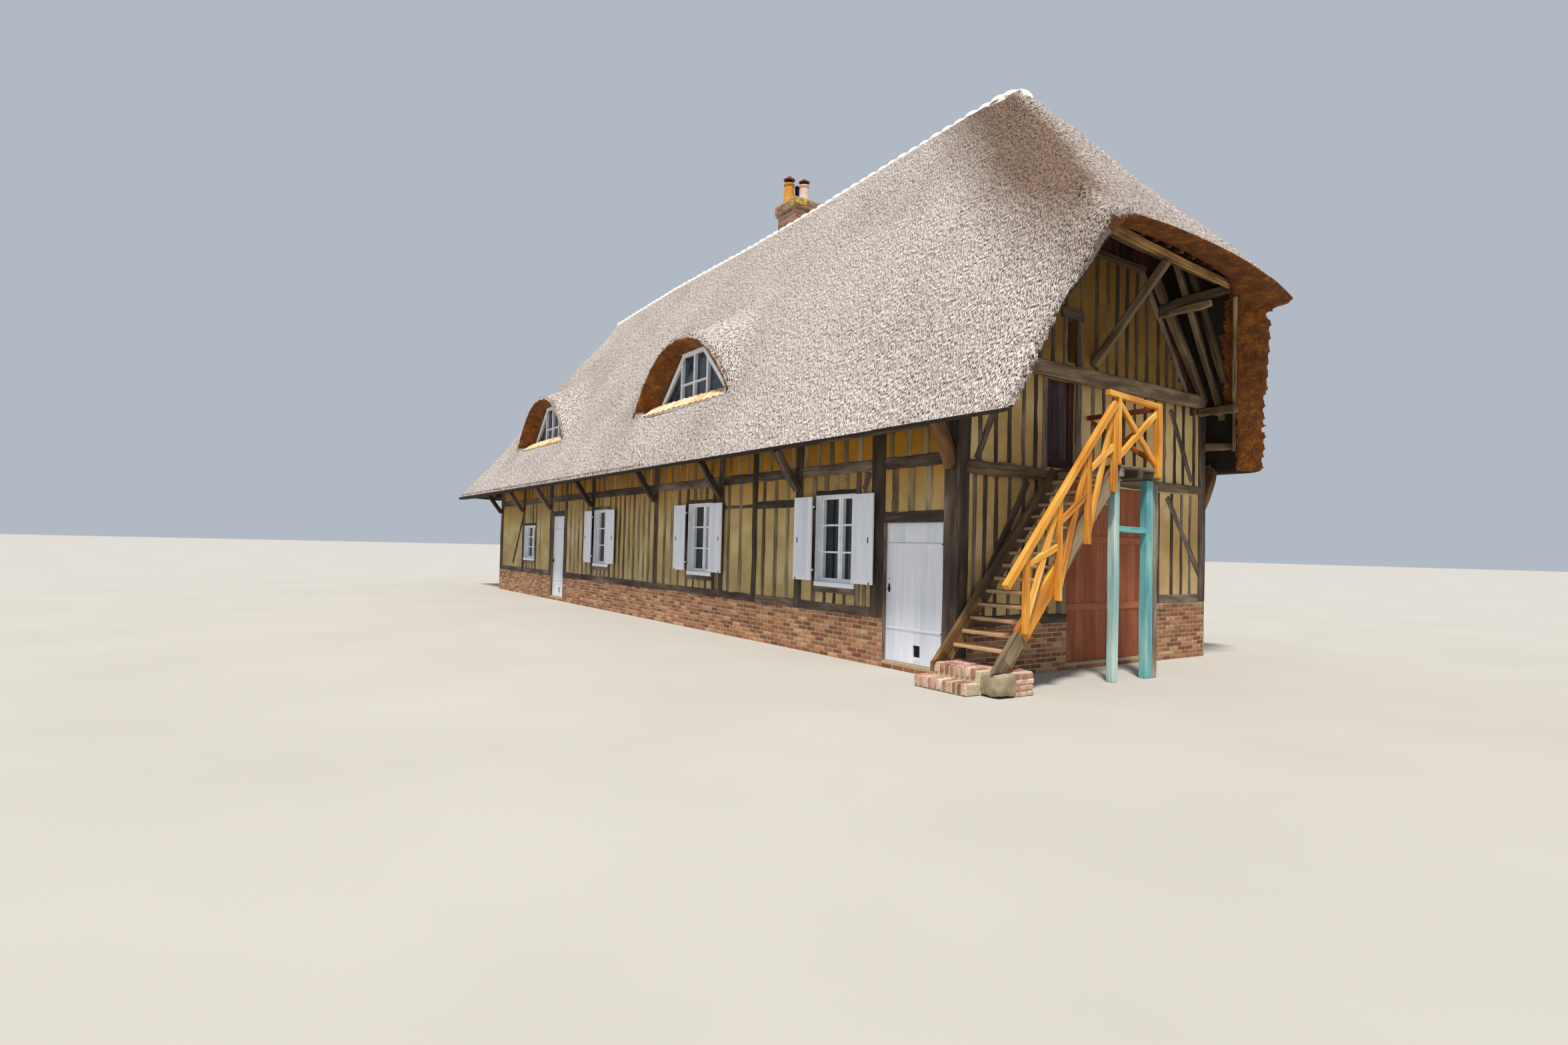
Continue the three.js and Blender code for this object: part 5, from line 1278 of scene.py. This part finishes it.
for side, x, y, wide, tall, clay in (("left", -9.18, 3.48, 1.0, 1.25, yellow_clay),
                                     ("right", -8.87, 3.72, 0.95, 1.05, pink_clay)):
    pot, cap, neck = (spun(profile, x, y, finish, wide, tall) for profile, finish in
        ((POT, clay), (CAP, red_clay), (NECK, iron)))
    belongs(pot, "pot_" + side, stands_for=("chimney_pot_" + side,))
    belongs(cap, "pot_cap_" + side)
    belongs(neck, "pot_neck_" + side)
belongs(spun(FLUE, -9.29, 3.80, iron), "flue_pipe")
print("two pots with caps and a flue pipe")

# %% [markdown]
# ## Ridge and sill tiles
# The ridge is capped with half-round clay tiles bedded in mortar, each lapping the next, and two
# tipped tiles close its end over the half-hip. One tile is a flat sheet bent over, thickened, and
# copied along the sag. The ridge tiles have swollen backs. Smaller tiles, tipped forward with rolls
# of mortar between them, make the sill of each dormer.


# %% One half-round tile
def half_round(radius, length, thick, taper, belly=0.0):
    """Half a tube along x, crown up: a sheet is bent over, then thickened inwards."""
    deselect()
    bpy.ops.mesh.primitive_grid_add(x_subdivisions=8, y_subdivisions=14, size=2)
    tile = bpy.context.object
    along, bent, _ = corners(tile).T
    angle = (1 + bent) * math.pi / 2
    wide = radius * (1 + taper * along) * (1 - belly * along**2)
    set_corners(tile, np.stack((along * length / 2, -wide * np.cos(angle), wide * np.sin(angle)), axis=1))
    finish_with(tile, "SOLIDIFY", thickness=thick, offset=0)
    face_outward(tile)
    return shape_of(tile)


def tipped(shape, scale, angle):
    """A shape stretched along its axes, and turned about y by an angle."""
    points, faces = shape
    turned = np.array(((math.cos(angle), 0, -math.sin(angle)), (0, 1, 0), (math.sin(angle), 0, math.cos(angle))))
    return points * scale @ turned, faces


def laid(shape, places, finish, seed, turn=0.0, jitter=0.004):
    """Copies of a tile at places, turned about z, a little out of line as hands leave them."""
    unit, faces = shape
    rng = np.random.default_rng(seed)
    points, polygons, tone = [], [], []
    for place in places:
        angle = turn + rng.normal(0, 0.012)
        turned = np.array(((math.cos(angle), math.sin(angle), 0), (-math.sin(angle), math.cos(angle), 0), (0, 0, 1)))
        polygons += [tuple(i + len(unit) * len(points) for i in face) for face in faces]
        points.append(unit @ turned + np.asarray(place) + rng.normal(0, jitter, 3))
        tone.append(np.full(len(unit), rng.random()))
    return gather(np.concatenate(points), polygons, finish, tone=np.concatenate(tone))


TILE_STEP, TILE_DROP, BED_DROP = 0.30, 0.105, 0.14
ridge_tile = half_round(0.115, TILE_STEP + 0.02, 0.016, 0.03, belly=0.42)
ridge_xs = np.arange(LEFT_HIP_APEX + 0.05, HALF_HIP_APEX - 0.1, TILE_STEP)
ridge = laid(ridge_tile, [(x, RIDGE_Y, RIDGE_Z - TILE_DROP - ridge_sag(x)) for x in ridge_xs], pale_clay, 41)
ends = [laid(tipped(ridge_tile, (1.15, 1, 1), angle), [(ridge_xs[-1] + x, RIDGE_Y, RIDGE_Z + z)], pale_clay, 44)
    for angle, x, z in ((0.35, 0.28, -0.06), (0.8, 0.53, -0.18))]
belongs(join(ridge, *ends), "ridge_row", stands_for=("ridge_tiles",))
bed_xs = np.linspace(LEFT_HIP_APEX - 0.05, HALF_HIP_APEX + 0.07, 15)
bed = [(x, RIDGE_Y, RIDGE_Z - BED_DROP - ridge_sag(x)) for x in bed_xs]
put_up("ridge_bedding", [(a, b, 0.21, 0.14, UPWARD) for a, b in zip(bed, bed[1:])], pale_clay, 42, "pale_tile",
    edge=0.04, wave=0.008)
sill_tile = tipped(half_round(0.105, 0.34, 0.016, 0.02), (1, 1, 0.62), -0.7)
mortar_roll = tipped(half_round(0.045, 0.33, 0.012, 0.02), (1, 1, 0.8), -0.7)
for side, middle in zip(("left", "right"), DORMERS):
    xs = [middle + a for a in np.linspace(-1.72, 1.72, 15)]
    sill = laid(sill_tile, [(x, 0.125, 4.56) for x in xs], orange_clay, 43, math.pi / 2, jitter=0.003)
    rolls = laid(mortar_roll, [(x + 0.123, 0.115, 4.575) for x in xs[:-1]], pale_clay, 48, math.pi / 2, jitter=0.003)
    strip = copies(TIMBER, [((middle - 1.76, 0.02, 4.475), (middle + 1.8, 0.02, 4.475), 0.07, 0.05, UPWARD)],
        pale_clay, 49, edge=0.02, wave=0.006)
    belongs(join(sill, rolls, strip), "dormer_sill_row_" + side, stands_for=("dormer_sill_" + side,))
print("ridge tiles:", len(ridge_xs) + len(ends), "sill tiles:", 2 * len(xs))

# %% [markdown]
# ## Windows
# The casements are planed and painted wood. Their solids have the right bars, so a merged copy of
# each gets a bevel of 3 mm on its edges, which catches the light as the solid's edges can't. Wide
# boards slant up to each dormer's middle light, and linings close the joint to the wall. Beside the
# slanting boards, dark oak strips stand for a dark frame and the shadow gap next to it: partly painted shade.

# %% Casements and glass
for node in [n for n in solids if n.startswith(("window_", "dormer_window_"))]:
    window = copy_of(node)
    finish_with(window, "BEVEL", width=0.003, segments=1, limit_method="ANGLE", angle_limit=math.radians(40))
    put_finish(window, white_joinery)
    smooth(window, 35)
    belongs(window, node + "_casements", stands_for=(node,))
for node in [n for n in solids if n.startswith("glass_")]:
    put_finish(solids[node], window_glass)
for side, middle in zip(("left", "right"), DORMERS):
    put_finish(solids["dormer_glass_" + side], curtained_glass)
    boards = [((middle + way * 1.52, 0.285, 4.63), (middle + way * 0.46, 0.285, 5.68), 0.10, 0.03, FACING_OUT)
        for way in (-1, 1)]
    boards += [((middle - 0.52, 0.283, 5.69), (middle + 0.52, 0.283, 5.69), 0.09, 0.03, FACING_OUT),
               ((middle - 1.6, 0.282, 4.60), (middle + 1.6, 0.282, 4.60), 0.08, 0.03, FACING_OUT)]
    # Dark strips beside the white boards: a dark frame, and painted shade for the shadow gap there
    shadowed = [((middle + way * 1.66, 0.288, 4.64), (middle + way * 0.58, 0.288, 5.75), 0.13, 0.02, FACING_OUT)
        for way in (-1, 1)]
    put_up("dormer_shadow_gap_boards_" + side, shadowed, smoked_oak, 47, shape=BOARD, edge=0.004, wave=0.002)
    put_up("dormer_boards_" + side, boards, white_joinery, 46, "white_paint", shape=BOARD, edge=0.004, wave=0.001)
lining, handles = [], []
for windows, wall in ((FRONT_WINDOWS, "front"), (BACK_WINDOWS, "back")):
    for x0, x1, head in windows.values():
        middle, low, high = (x0 + x1) / 2, 1.04, head - 0.001
        lining += flat_on(wall, [(x0 + 0.001, x0 + 0.016, low, high), (x1 - 0.016, x1 - 0.001, low, high),
            (x0 + 0.016, x1 - 0.016, head - 0.016, high)], proud=0.004, deep=0.112)
        lining += flat_on(wall, [(middle - 0.016, middle + 0.016, 1.075, head - 0.035)], proud=-0.098, deep=0.112)
        handles += flat_on(wall, [(middle - 0.008, middle + 0.008, 1.66, 1.76)], proud=-0.085, deep=0.1)
put_up("window_linings", lining, white_joinery, 44, "white_paint", shape=BOARD, edge=0.003, wave=0.0005)
put_up("window_handles", handles, white_joinery, 45, "white_paint", shape=BOARD, edge=0.003, wave=0.0003)

# %% [markdown]
# ## Plank doors and shutters
# A plank door is a row of boards of uneven width, held by ledges, and its joints show as fine
# grooves. The boards are the bevelled block again. Each leaf turns on eyes round iron pins. An iron
# catch sits at the shutter's free edge, and another at its foot, clear of the sill when it shuts.


# %% Leaves of boards
def split_widths(start, total, shares):
    """Neighbouring boards that share a width unevenly, as (from, to)."""
    edges = np.concatenate(([0], np.cumsum(shares))) / sum(shares) * total
    return [(start + a, start + b) for a, b in zip(edges[:-1], edges[1:])]


deselect()
bpy.ops.mesh.primitive_cylinder_add(vertices=20, radius=0.012, depth=0.030, end_fill_type="NOTHING")
ring = bpy.context.object
finish_with(ring, "SOLIDIFY", thickness=0.0055, offset=-1)
deselect()
bpy.ops.mesh.primitive_cylinder_add(vertices=12, radius=0.005, depth=0.059)
rod = bpy.context.object
finish_with(rod, "BEVEL", width=0.001, segments=1, limit_method="ANGLE", angle_limit=1.0)
EYE, ROD = shape_of(ring), shape_of(rod)

PIN_Y, PIN_ZS, EYE_MIDDLE, STRAP_Y = -0.0475, (1.185, 2.191), 0.037, -0.0545
SHUTTERED = [(name, *FRONT_WINDOWS[name][:2]) for name in ("right", "middle", "left")]
for window, x0, x1 in SHUTTERED:
    for side, x, way in (("left", x0, -1), ("right", x1, 1)):
        near, far = x + way * 0.008, x + way * 0.49
        low, wide = min(near, far), abs(far - near)
        boards = [(a, b, 1.055, 2.391) for a, b in split_widths(low, wide, (1.0, 1.1, 0.95, 1.0))]
        ledges = [(low + 0.03, low + wide - 0.03, z, z + 0.09) for z in (1.22, 2.12)]
        straps = [((x + way * 0.011, STRAP_Y, z + EYE_MIDDLE), (x + way * 0.10, STRAP_Y, z + EYE_MIDDLE), 0.007, 0.026,
            UPWARD) for z in PIN_ZS]
        edge_x, foot_x = far - way * 0.10, far - way * 0.07
        catches = flat_on("front", [(edge_x - 0.006, edge_x + 0.006, 1.66, 1.74)], proud=0.096, deep=-0.082)
        catches += flat_on("front", [(foot_x - 0.012, foot_x + 0.012, 1.058, 1.09)], proud=0.092, deep=-0.07)
        leaf = join(
            copies(BOARD, flat_on("front", boards, proud=0.085, deep=-0.058), white_paint, 50 + int(-x), 0.004, 0.0008),
            copies(BOARD, flat_on("front", ledges, proud=0.0585, deep=-0.050), white_paint, 61, 0.004, 0.0005),
            laid(EYE, [(x, PIN_Y, z + EYE_MIDDLE) for z in PIN_ZS], white_joinery, 62, jitter=0.0),
            copies(BOARD, straps, white_joinery, 63, 0.002, 0.0), copies(BOARD, catches, iron, 64, 0.002, 0.0))
        node = "shutter_%s_%s" % (window, side)
        belongs(leaf, node + "_leaf", node, (node,))
pin_places = [(x, PIN_Y, z + 0.0305) for _, x0, x1 in SHUTTERED for x in (x0, x1) for z in PIN_ZS]
arms = [((x, 0.004, z - 0.0205), (x, -0.0505, z - 0.0205), 0.006, 0.02, UPWARD) for x, _, z in pin_places]
pins = join(laid(ROD, pin_places, iron, 65, jitter=0.0), copies(BOARD, arms, iron, 66, 0.002, 0.0))
belongs(pins, "shutter_pins")
print("six shutters of four boards on", len(pin_places), "pins")

# %% [markdown]
# The two doors share a plan: boards up to a thin ledge, short boards above it, a second ledge near
# the foot, an iron latch at the left and a dark flap near the floor. Thin dark linings close the
# jambs, so that no daub shows beside a leaf.


# %% Doors
SEVEN_BOARDS, SIX_SHORT = (1.15, 0.9, 1.2, 0.78, 0.72, 1.0, 1.1), (0.7, 1.1, 0.8, 1.2, 0.9, 1.0)


def plank_door(node, x0, x1, head, ledge_zs):
    left, wide, foot, top = x0 + 0.006, x1 - x0 - 0.012, 0.005, head - 0.008
    flap = (x0 + 0.42 * (x1 - x0), x0 + 0.54 * (x1 - x0))
    boards = []
    for a, b in split_widths(left, wide, SEVEN_BOARDS):
        if a < (flap[0] + flap[1]) / 2 < b:
            boards += [(a, b, foot, 0.105), (a, b, 0.265, ledge_zs[1] + 0.01)]
            flap = (a, b)
        else:
            boards.append((a, b, foot, ledge_zs[1] + 0.01))
    boards += [(a, b, ledge_zs[1] + 0.03, top) for a, b in split_widths(left, wide, SIX_SHORT)]
    ledges = [(left + 0.02, x1 - 0.026, z, z + 0.028, -0.052) for z in ledge_zs]
    ledges += [(left, left + wide, top - 0.11, top - 0.105, -0.0605), (left, left + 0.035, foot, top, -0.0585),
               (x1 - 0.041, x1 - 0.006, foot, top, -0.0585)]
    behind = [(left + 0.02, x1 - 0.05, z, z + 0.10) for z in (0.40, 1.60)]
    latch = [(left + 0.055, left + 0.075, 0.97, 1.09, -0.046), (left + 0.048, left + 0.085, 1.00, 1.035, -0.036),
             (left + 0.058, left + 0.07, 1.155, 1.175, -0.055),
             (flap[0] + 0.004, flap[1] - 0.004, 0.108, 0.262, -0.085)]
    hooks = [(x1 - 0.09, x1 - 0.03, z + 0.005, z + 0.022, -0.047) for z in ledge_zs]
    eye_zs = [z + EYE_MIDDLE for z in (0.76, 1.60)]
    straps = [((x1 - 0.36, 0.1015, z), (x1 - 0.029, 0.1015, z), 0.006, 0.03, UPWARD) for z in eye_zs]
    straps += [((x1 - 0.045, 0.1075, z), (x1 - 0.029, 0.1075, z), 0.018, 0.028, UPWARD) for z in eye_zs]
    leaf = join(
        copies(TIMBER, flat_on("front", boards, proud=-0.0635, deep=0.098), white_paint, 71, 0.004, 0.0006),
        copies(TIMBER, flat_on("front", ledges, deep=0.066), white_paint, 72, 0.003, 0.0006),
        copies(BOARD, flat_on("front", behind, proud=-0.097, deep=0.108), white_paint, 73, 0.004, 0.0),
        copies(BOARD, flat_on("front", latch, deep=0.092), iron, 74, 0.004, 0.0),
        copies(BOARD, flat_on("front", hooks, deep=0.054), iron, 75, 0.003, 0.0),
        laid(EYE, [(x1 - 0.020, 0.116, z) for z in eye_zs], iron, 76, jitter=0.0),
        copies(BOARD, straps, iron, 77, 0.002, 0.0))
    return belongs(leaf, node + "_leaf", node, (node,))


jambs = []
for x0, x1, head in (FRONT_DOOR, LEFT_DOOR):
    jambs += [(x0 + 0.0005, x0 + 0.0035, 0.002, head), (x1 - 0.0035, x1 - 0.0005, 0.002, head),
              (x0, x1, head - 0.0035, head - 0.0005)]
put_up("door_jamb_linings", flat_on("front", jambs, proud=0.004, deep=0.055), dark_oak, 79, shape=BOARD, edge=0.001,
    wave=0.0)
plank_door("front_door", *FRONT_DOOR, ledge_zs=(0.46, 1.645))
plank_door("left_door", *LEFT_DOOR, ledge_zs=(0.46, 1.9))
print("two plank doors")

# %% [markdown]
# The upper door and the wide doorway behind the stair are boarded up and don't move here.

# %% Boarded openings
boards = [(a, b, 2.80, 4.078, -0.072) for a, b in split_widths(1.765, 0.53, (1.0, 0.9, 1.1))]
put_up("upper_door_boards", flat_on("gable", boards, deep=0.11), plum_board, 81, "plum_paint", ("upper_door",),
    edge=0.005, wave=0.001)
jambs = [(1.76, 1.80, 2.80, 4.08, -0.045), (2.30, 2.42, 2.80, 4.08, -0.05), (1.80, 2.30, 2.80, 2.93, -0.05)]
put_up("upper_door_frame", flat_on("gable", jambs, deep=0.12), gable_board, 82, "plum_paint", edge=0.006, wave=0.001)
shares = (1, 0.9, 1.1, 1, 0.95, 1.05, 1, 1.1, 0.9)
boards = [(a, b, 0.003, 2.597, -0.0405) for a, b in split_widths(2.2503, 2.2494, shares)]
rails = [(2.2503, 4.4997, z, z + 0.10, -0.026) for z in (0.75, 1.75)]
belongs(join(copies(TIMBER, flat_on("gable", boards, deep=0.09), rust_board, 83, 0.004, 0.0008),
    copies(BOARD, flat_on("gable", rails, deep=0.045), rust_board, 84, 0.005, 0.001)), "barn_door_boards",
    stands_for=("barn_doors",))
print("upper door and barn doors boarded")

# %% [markdown]
# ## The outside stair
# Fourteen worn treads stand between two stringers. Part of the outer stringer, the newels, braces
# and handrail are new pine in orange stain, and the rest is old. Each tread knows how far a point
# is from its front edge, where feet have rubbed it pale and where the light catches the nosing:
# wear and a painted highlight together.

# %% Flight
GOING, RISE, FIRST_Y, FIRST_Z, TREADS, TREAD_DEEP = 0.147, 0.167, -0.17, 0.42, 14, 0.24
INNER_X, OUTER_X = 0.0975, 1.0225


def stair_y(z):
    return FIRST_Y + (z - FIRST_Z) * GOING / RISE


def trim(piece, place, direction):
    edit_all(piece)
    bpy.ops.mesh.bisect(plane_co=in_part(place), plane_no=direction, use_fill=True, clear_outer=True)
    done()
    return piece


def stringer(x, z0, z1, finish, seed):
    """A length of stringer, cut level at the foot and upright at the platform."""
    beam = ((x, stair_y(z0), z0), (x, stair_y(z1), z1), 0.055, 0.24, UPWARD)
    piece = copies(TIMBER, [beam], finish, seed, 0.008, 0.003)
    return trim(trim(piece, (0, 0, 0.2), (0, 0, -1)), (0, 1.829, 0), (0, 1, 0))


stringers = [stringer(*of) for of in ((INNER_X, 0.05, 1.0, bare_oak, 90), (INNER_X, 0.96, 2.7, brown_oak, 91),
    (OUTER_X, 0.05, 0.62, brown_oak, 89), (OUTER_X, 0.58, 1.42, orange_stain, 93), (OUTER_X, 1.38, 2.7, brown_oak, 92))]
tread_zs = [FIRST_Z + i * RISE for i in range(TREADS)]
boards = [((0.08, stair_y(z) + 0.1, z - 0.0225), (1.04, stair_y(z) + 0.1, z - 0.0225), TREAD_DEEP, 0.045, UPWARD)
    for z in tread_zs]
treads = copies(TIMBER, boards, worn_tread, 94, 0.010, 0.0035)
_, y, z = (corners(treads) - OFFSET).T
from_front = y - stair_y(FIRST_Z + np.round((z + 0.02 - FIRST_Z) / RISE) * RISE)
# Paler towards each tread's front: wear, and a painted highlight on the lit nosing
worn = np.clip(0.9 - from_front / TREAD_DEEP, 0, 1)
treads.data.attributes.new("front", "FLOAT", "POINT").data.foreach_set("value", worn)
belongs(join(*stringers, treads), "stair_flight_timbers", stands_for=("stair_flight",))
print("treads:", TREADS, "lengths of stringer:", len(stringers))

# %% [markdown]
# The platform is boards on three joists whose ends show. Its posts are turquoise, the near one
# paler, and a bare post doubles the far one.

# %% Platform and posts
JOIST_Z, DECK_Z, POST_X = 2.665, 2.74, 0.955
joists = [((0.003, y, JOIST_Z), (1.10, y, JOIST_Z), 0.09, 0.11, UPWARD) for y in (1.88, 2.31, 2.745)]
decking = [((x + 0.09, 1.832, DECK_Z), (x + 0.09, 2.80, DECK_Z), 0.176, 0.04, UPWARD)
    for x in np.arange(0.004, 1.0, 0.1833)]
put_up("stair_platform_boards", joists + decking, grey_oak, 95, "grey_wood", ("stair_platform",), edge=0.008,
    wave=0.003)
far_post = [((POST_X, 2.675, BASE), (POST_X, 2.675, 2.609), 0.11, 0.15, ALONG_WALL),
            ((POST_X, 1.96, 1.92), (POST_X, 2.61, 1.92), 0.08, 0.08, UPWARD)]
near_post = [((POST_X, 1.915, BASE), (POST_X, 1.915, 2.609), 0.11, 0.11, ALONG_WALL)]
bare_post = [((POST_X, 2.8145, BASE), (POST_X, 2.8145, 2.57), 0.11, 0.13, ALONG_WALL)]
posts = join(copies(TIMBER, far_post, turquoise_paint, 96, 0.008, 0.003),
    # The near post is given a paler turquoise than the far one
    copies(TIMBER, near_post, pale_turquoise_paint, 87, 0.008, 0.003),
    copies(TIMBER, bare_post, grey_oak, 97, 0.012, 0.006))
belongs(posts, "platform_post_timbers", stands_for=("platform_posts",))
print("platform with", len(decking), "boards")

# %% [markdown]
# The rail's newels stand on the outer face of the stringer. Between them run crossed braces, and
# the top rail round the platform has its own cross. The rail behind the platform is red.

# %% Rails
HAND_X, FOOT_Y, FOOT_Z = 1.0653, -0.38, 1.17
SLOPE = (3.53 - FOOT_Z) / (1.68 - FOOT_Y)


def rail_z(y):
    return FOOT_Z + (y - FOOT_Y) * SLOPE


newels = [(0.0, 0.62), (0.6, 1.0), (1.17, 1.7), (1.715, 2.39)]
rails = [((HAND_X + 0.035, FOOT_Y, FOOT_Z), (HAND_X + 0.035, 1.7, rail_z(1.7)), 0.07, 0.09, UPWARD)]
rails += [((HAND_X + 0.015, y, z), (HAND_X + 0.015, y, rail_z(y) - 0.02), 0.06, 0.09, ALONG_WALL) for y, z in newels]
for (ya, za), (yb, zb) in zip(newels, newels[1:]):
    start, end = (za + rail_z(ya)) / 2 + 0.33, (zb + rail_z(yb)) / 2 + 0.02
    rails.append(((HAND_X + 0.017, ya + 0.04, start), (HAND_X + 0.017, yb, end), 0.04, 0.08, UPWARD))
    rails.append(((HAND_X + 0.013, ya + 0.02, za + 0.17), (HAND_X + 0.013, yb, rail_z(yb) - 0.06), 0.04, 0.09, UPWARD))
put_up("stair_rail_timbers", rails, orange_stain, 98, "orange_wood", ("stair_rail",), edge=0.006, wave=0.0015)
TOP_RAIL, Y0, Y1, DECK = 3.66, 1.765, 2.69, 2.765
landing = [((HAND_X + out, *start), (HAND_X + out, *end), wide, deep, up) for out, start, end, wide, deep, up in (
    (0.015, (Y0 - 0.2, TOP_RAIL + 0.02), (Y1 + 0.06, TOP_RAIL - 0.04), 0.08, 0.07, UPWARD),
    (0.04, (Y1, 2.64), (Y1, TOP_RAIL - 0.03), 0.08, 0.09, ALONG_WALL),
    (0.013, (Y0 + 0.045, TOP_RAIL - 0.075), (Y1, DECK + 0.04), 0.05, 0.08, UPWARD),
    (0.017, (Y0 + 0.045, DECK + 0.095), (Y1, TOP_RAIL - 0.12), 0.05, 0.08, UPWARD),
    (0.015, (Y0 + 0.03, DECK), (Y0 + 0.03, TOP_RAIL), 0.08, 0.06, ALONG_WALL))]
put_up("landing_rail_timbers", landing, orange_stain, 99, "orange_wood", ("landing_rail",), edge=0.006, wave=0.0015)
behind = [((HAND_X + 0.03, Y1, TOP_RAIL - 0.07), (0.003, Y1, TOP_RAIL - 0.07), 0.05, 0.07, UPWARD),
          ((0.06, Y1 + 0.02, TOP_RAIL - 0.14), (HAND_X, Y1 + 0.02, DECK + 0.08), 0.035, 0.07, UPWARD),
          ((0.06, Y1 + 0.058, DECK + 0.1), (HAND_X, Y1 + 0.058, TOP_RAIL - 0.14), 0.035, 0.07, UPWARD)]
put_up("landing_back_rail", behind, red_stain, 100, "orange_wood", edge=0.005, wave=0.0015)
print("rail members:", len(rails) + len(landing) + len(behind))

# %% [markdown]
# The stair stands on two low steps whose front edges are bricks set on edge, beside a rough stone.

# %% Stair foot
ON_EDGE = 0.078
on_edge = []
for a0, a1, y, low, high in ((0.0, 0.76, -0.485, 0.085, 0.205), (-0.04, 0.82, -0.705, -0.08, 0.045)):
    count, z = int((a1 - a0) / ON_EDGE), (low + high) / 2
    for a in (a0 + (i + 0.5) * (a1 - a0) / count for i in range(count)):
        on_edge.append(((a, y, z), (a, y + BRICK_LONG, z), 0.058, high - low, UPWARD))
steps = wall_at(0, 1.1, -0.48, 0.14)
rows = courses("front", 0.0, 0.76, 0.08, walls=steps) + courses("gable", -0.2, 0.14, 0.2, walls=steps)
rows += [((a, -0.15, 0.178), (a, 0.06, 0.178), 0.10, 0.05, UPWARD) for a in np.arange(0.06, 1.05, 0.114)]
rows += [((a, -0.26, 0.178), (a, -0.165, 0.178), 0.10, 0.05, UPWARD) for a in np.arange(0.06, 0.75, 0.114)]
core = [((0.42, -0.47, 0.04), (0.42, 0.13, 0.04), 0.81, 0.28, UPWARD),
        ((0.555, -0.19, 0.04), (0.555, 0.13, 0.04), 1.08, 0.28, UPWARD),
        ((0.39, -0.695, -0.03), (0.39, -0.45, -0.03), 0.85, 0.13, UPWARD)]
foot = join(copies(BOARD, on_edge + rows, step_brick, 101, 0.009, 0.003),
    copies(BOARD, core, lime_mortar, 102, 0.01, 0.0))
belongs(foot, "stair_foot_bricks", stands_for=("stair_foot",))
deselect()
bpy.ops.mesh.primitive_cube_add(size=2)
stone = bpy.context.object
edit_all(stone)
bpy.ops.mesh.subdivide(number_cuts=7)
done()
rounded = corners(stone)
rounded = rounded * (1 - 0.24 * (np.linalg.norm(rounded, axis=1, keepdims=True) - 1))
set_corners(stone, in_part(rounded * (0.155, 0.17, 0.13) + (0.975, -0.33, 0.045)))
lumps = bpy.data.textures.new("stone lumps", "CLOUDS")
lumps.noise_scale = 0.12
finish_with(stone, "DISPLACE", texture=lumps, strength=0.045, mid_level=0.5)
set_corners(stone, np.maximum(corners(stone), (-99, -99, 0.001)))
put_finish(stone, field_stone)
smooth(stone, 60)
belongs(stone, "stair_foot_stone")
print("bricks on edge:", len(on_edge))
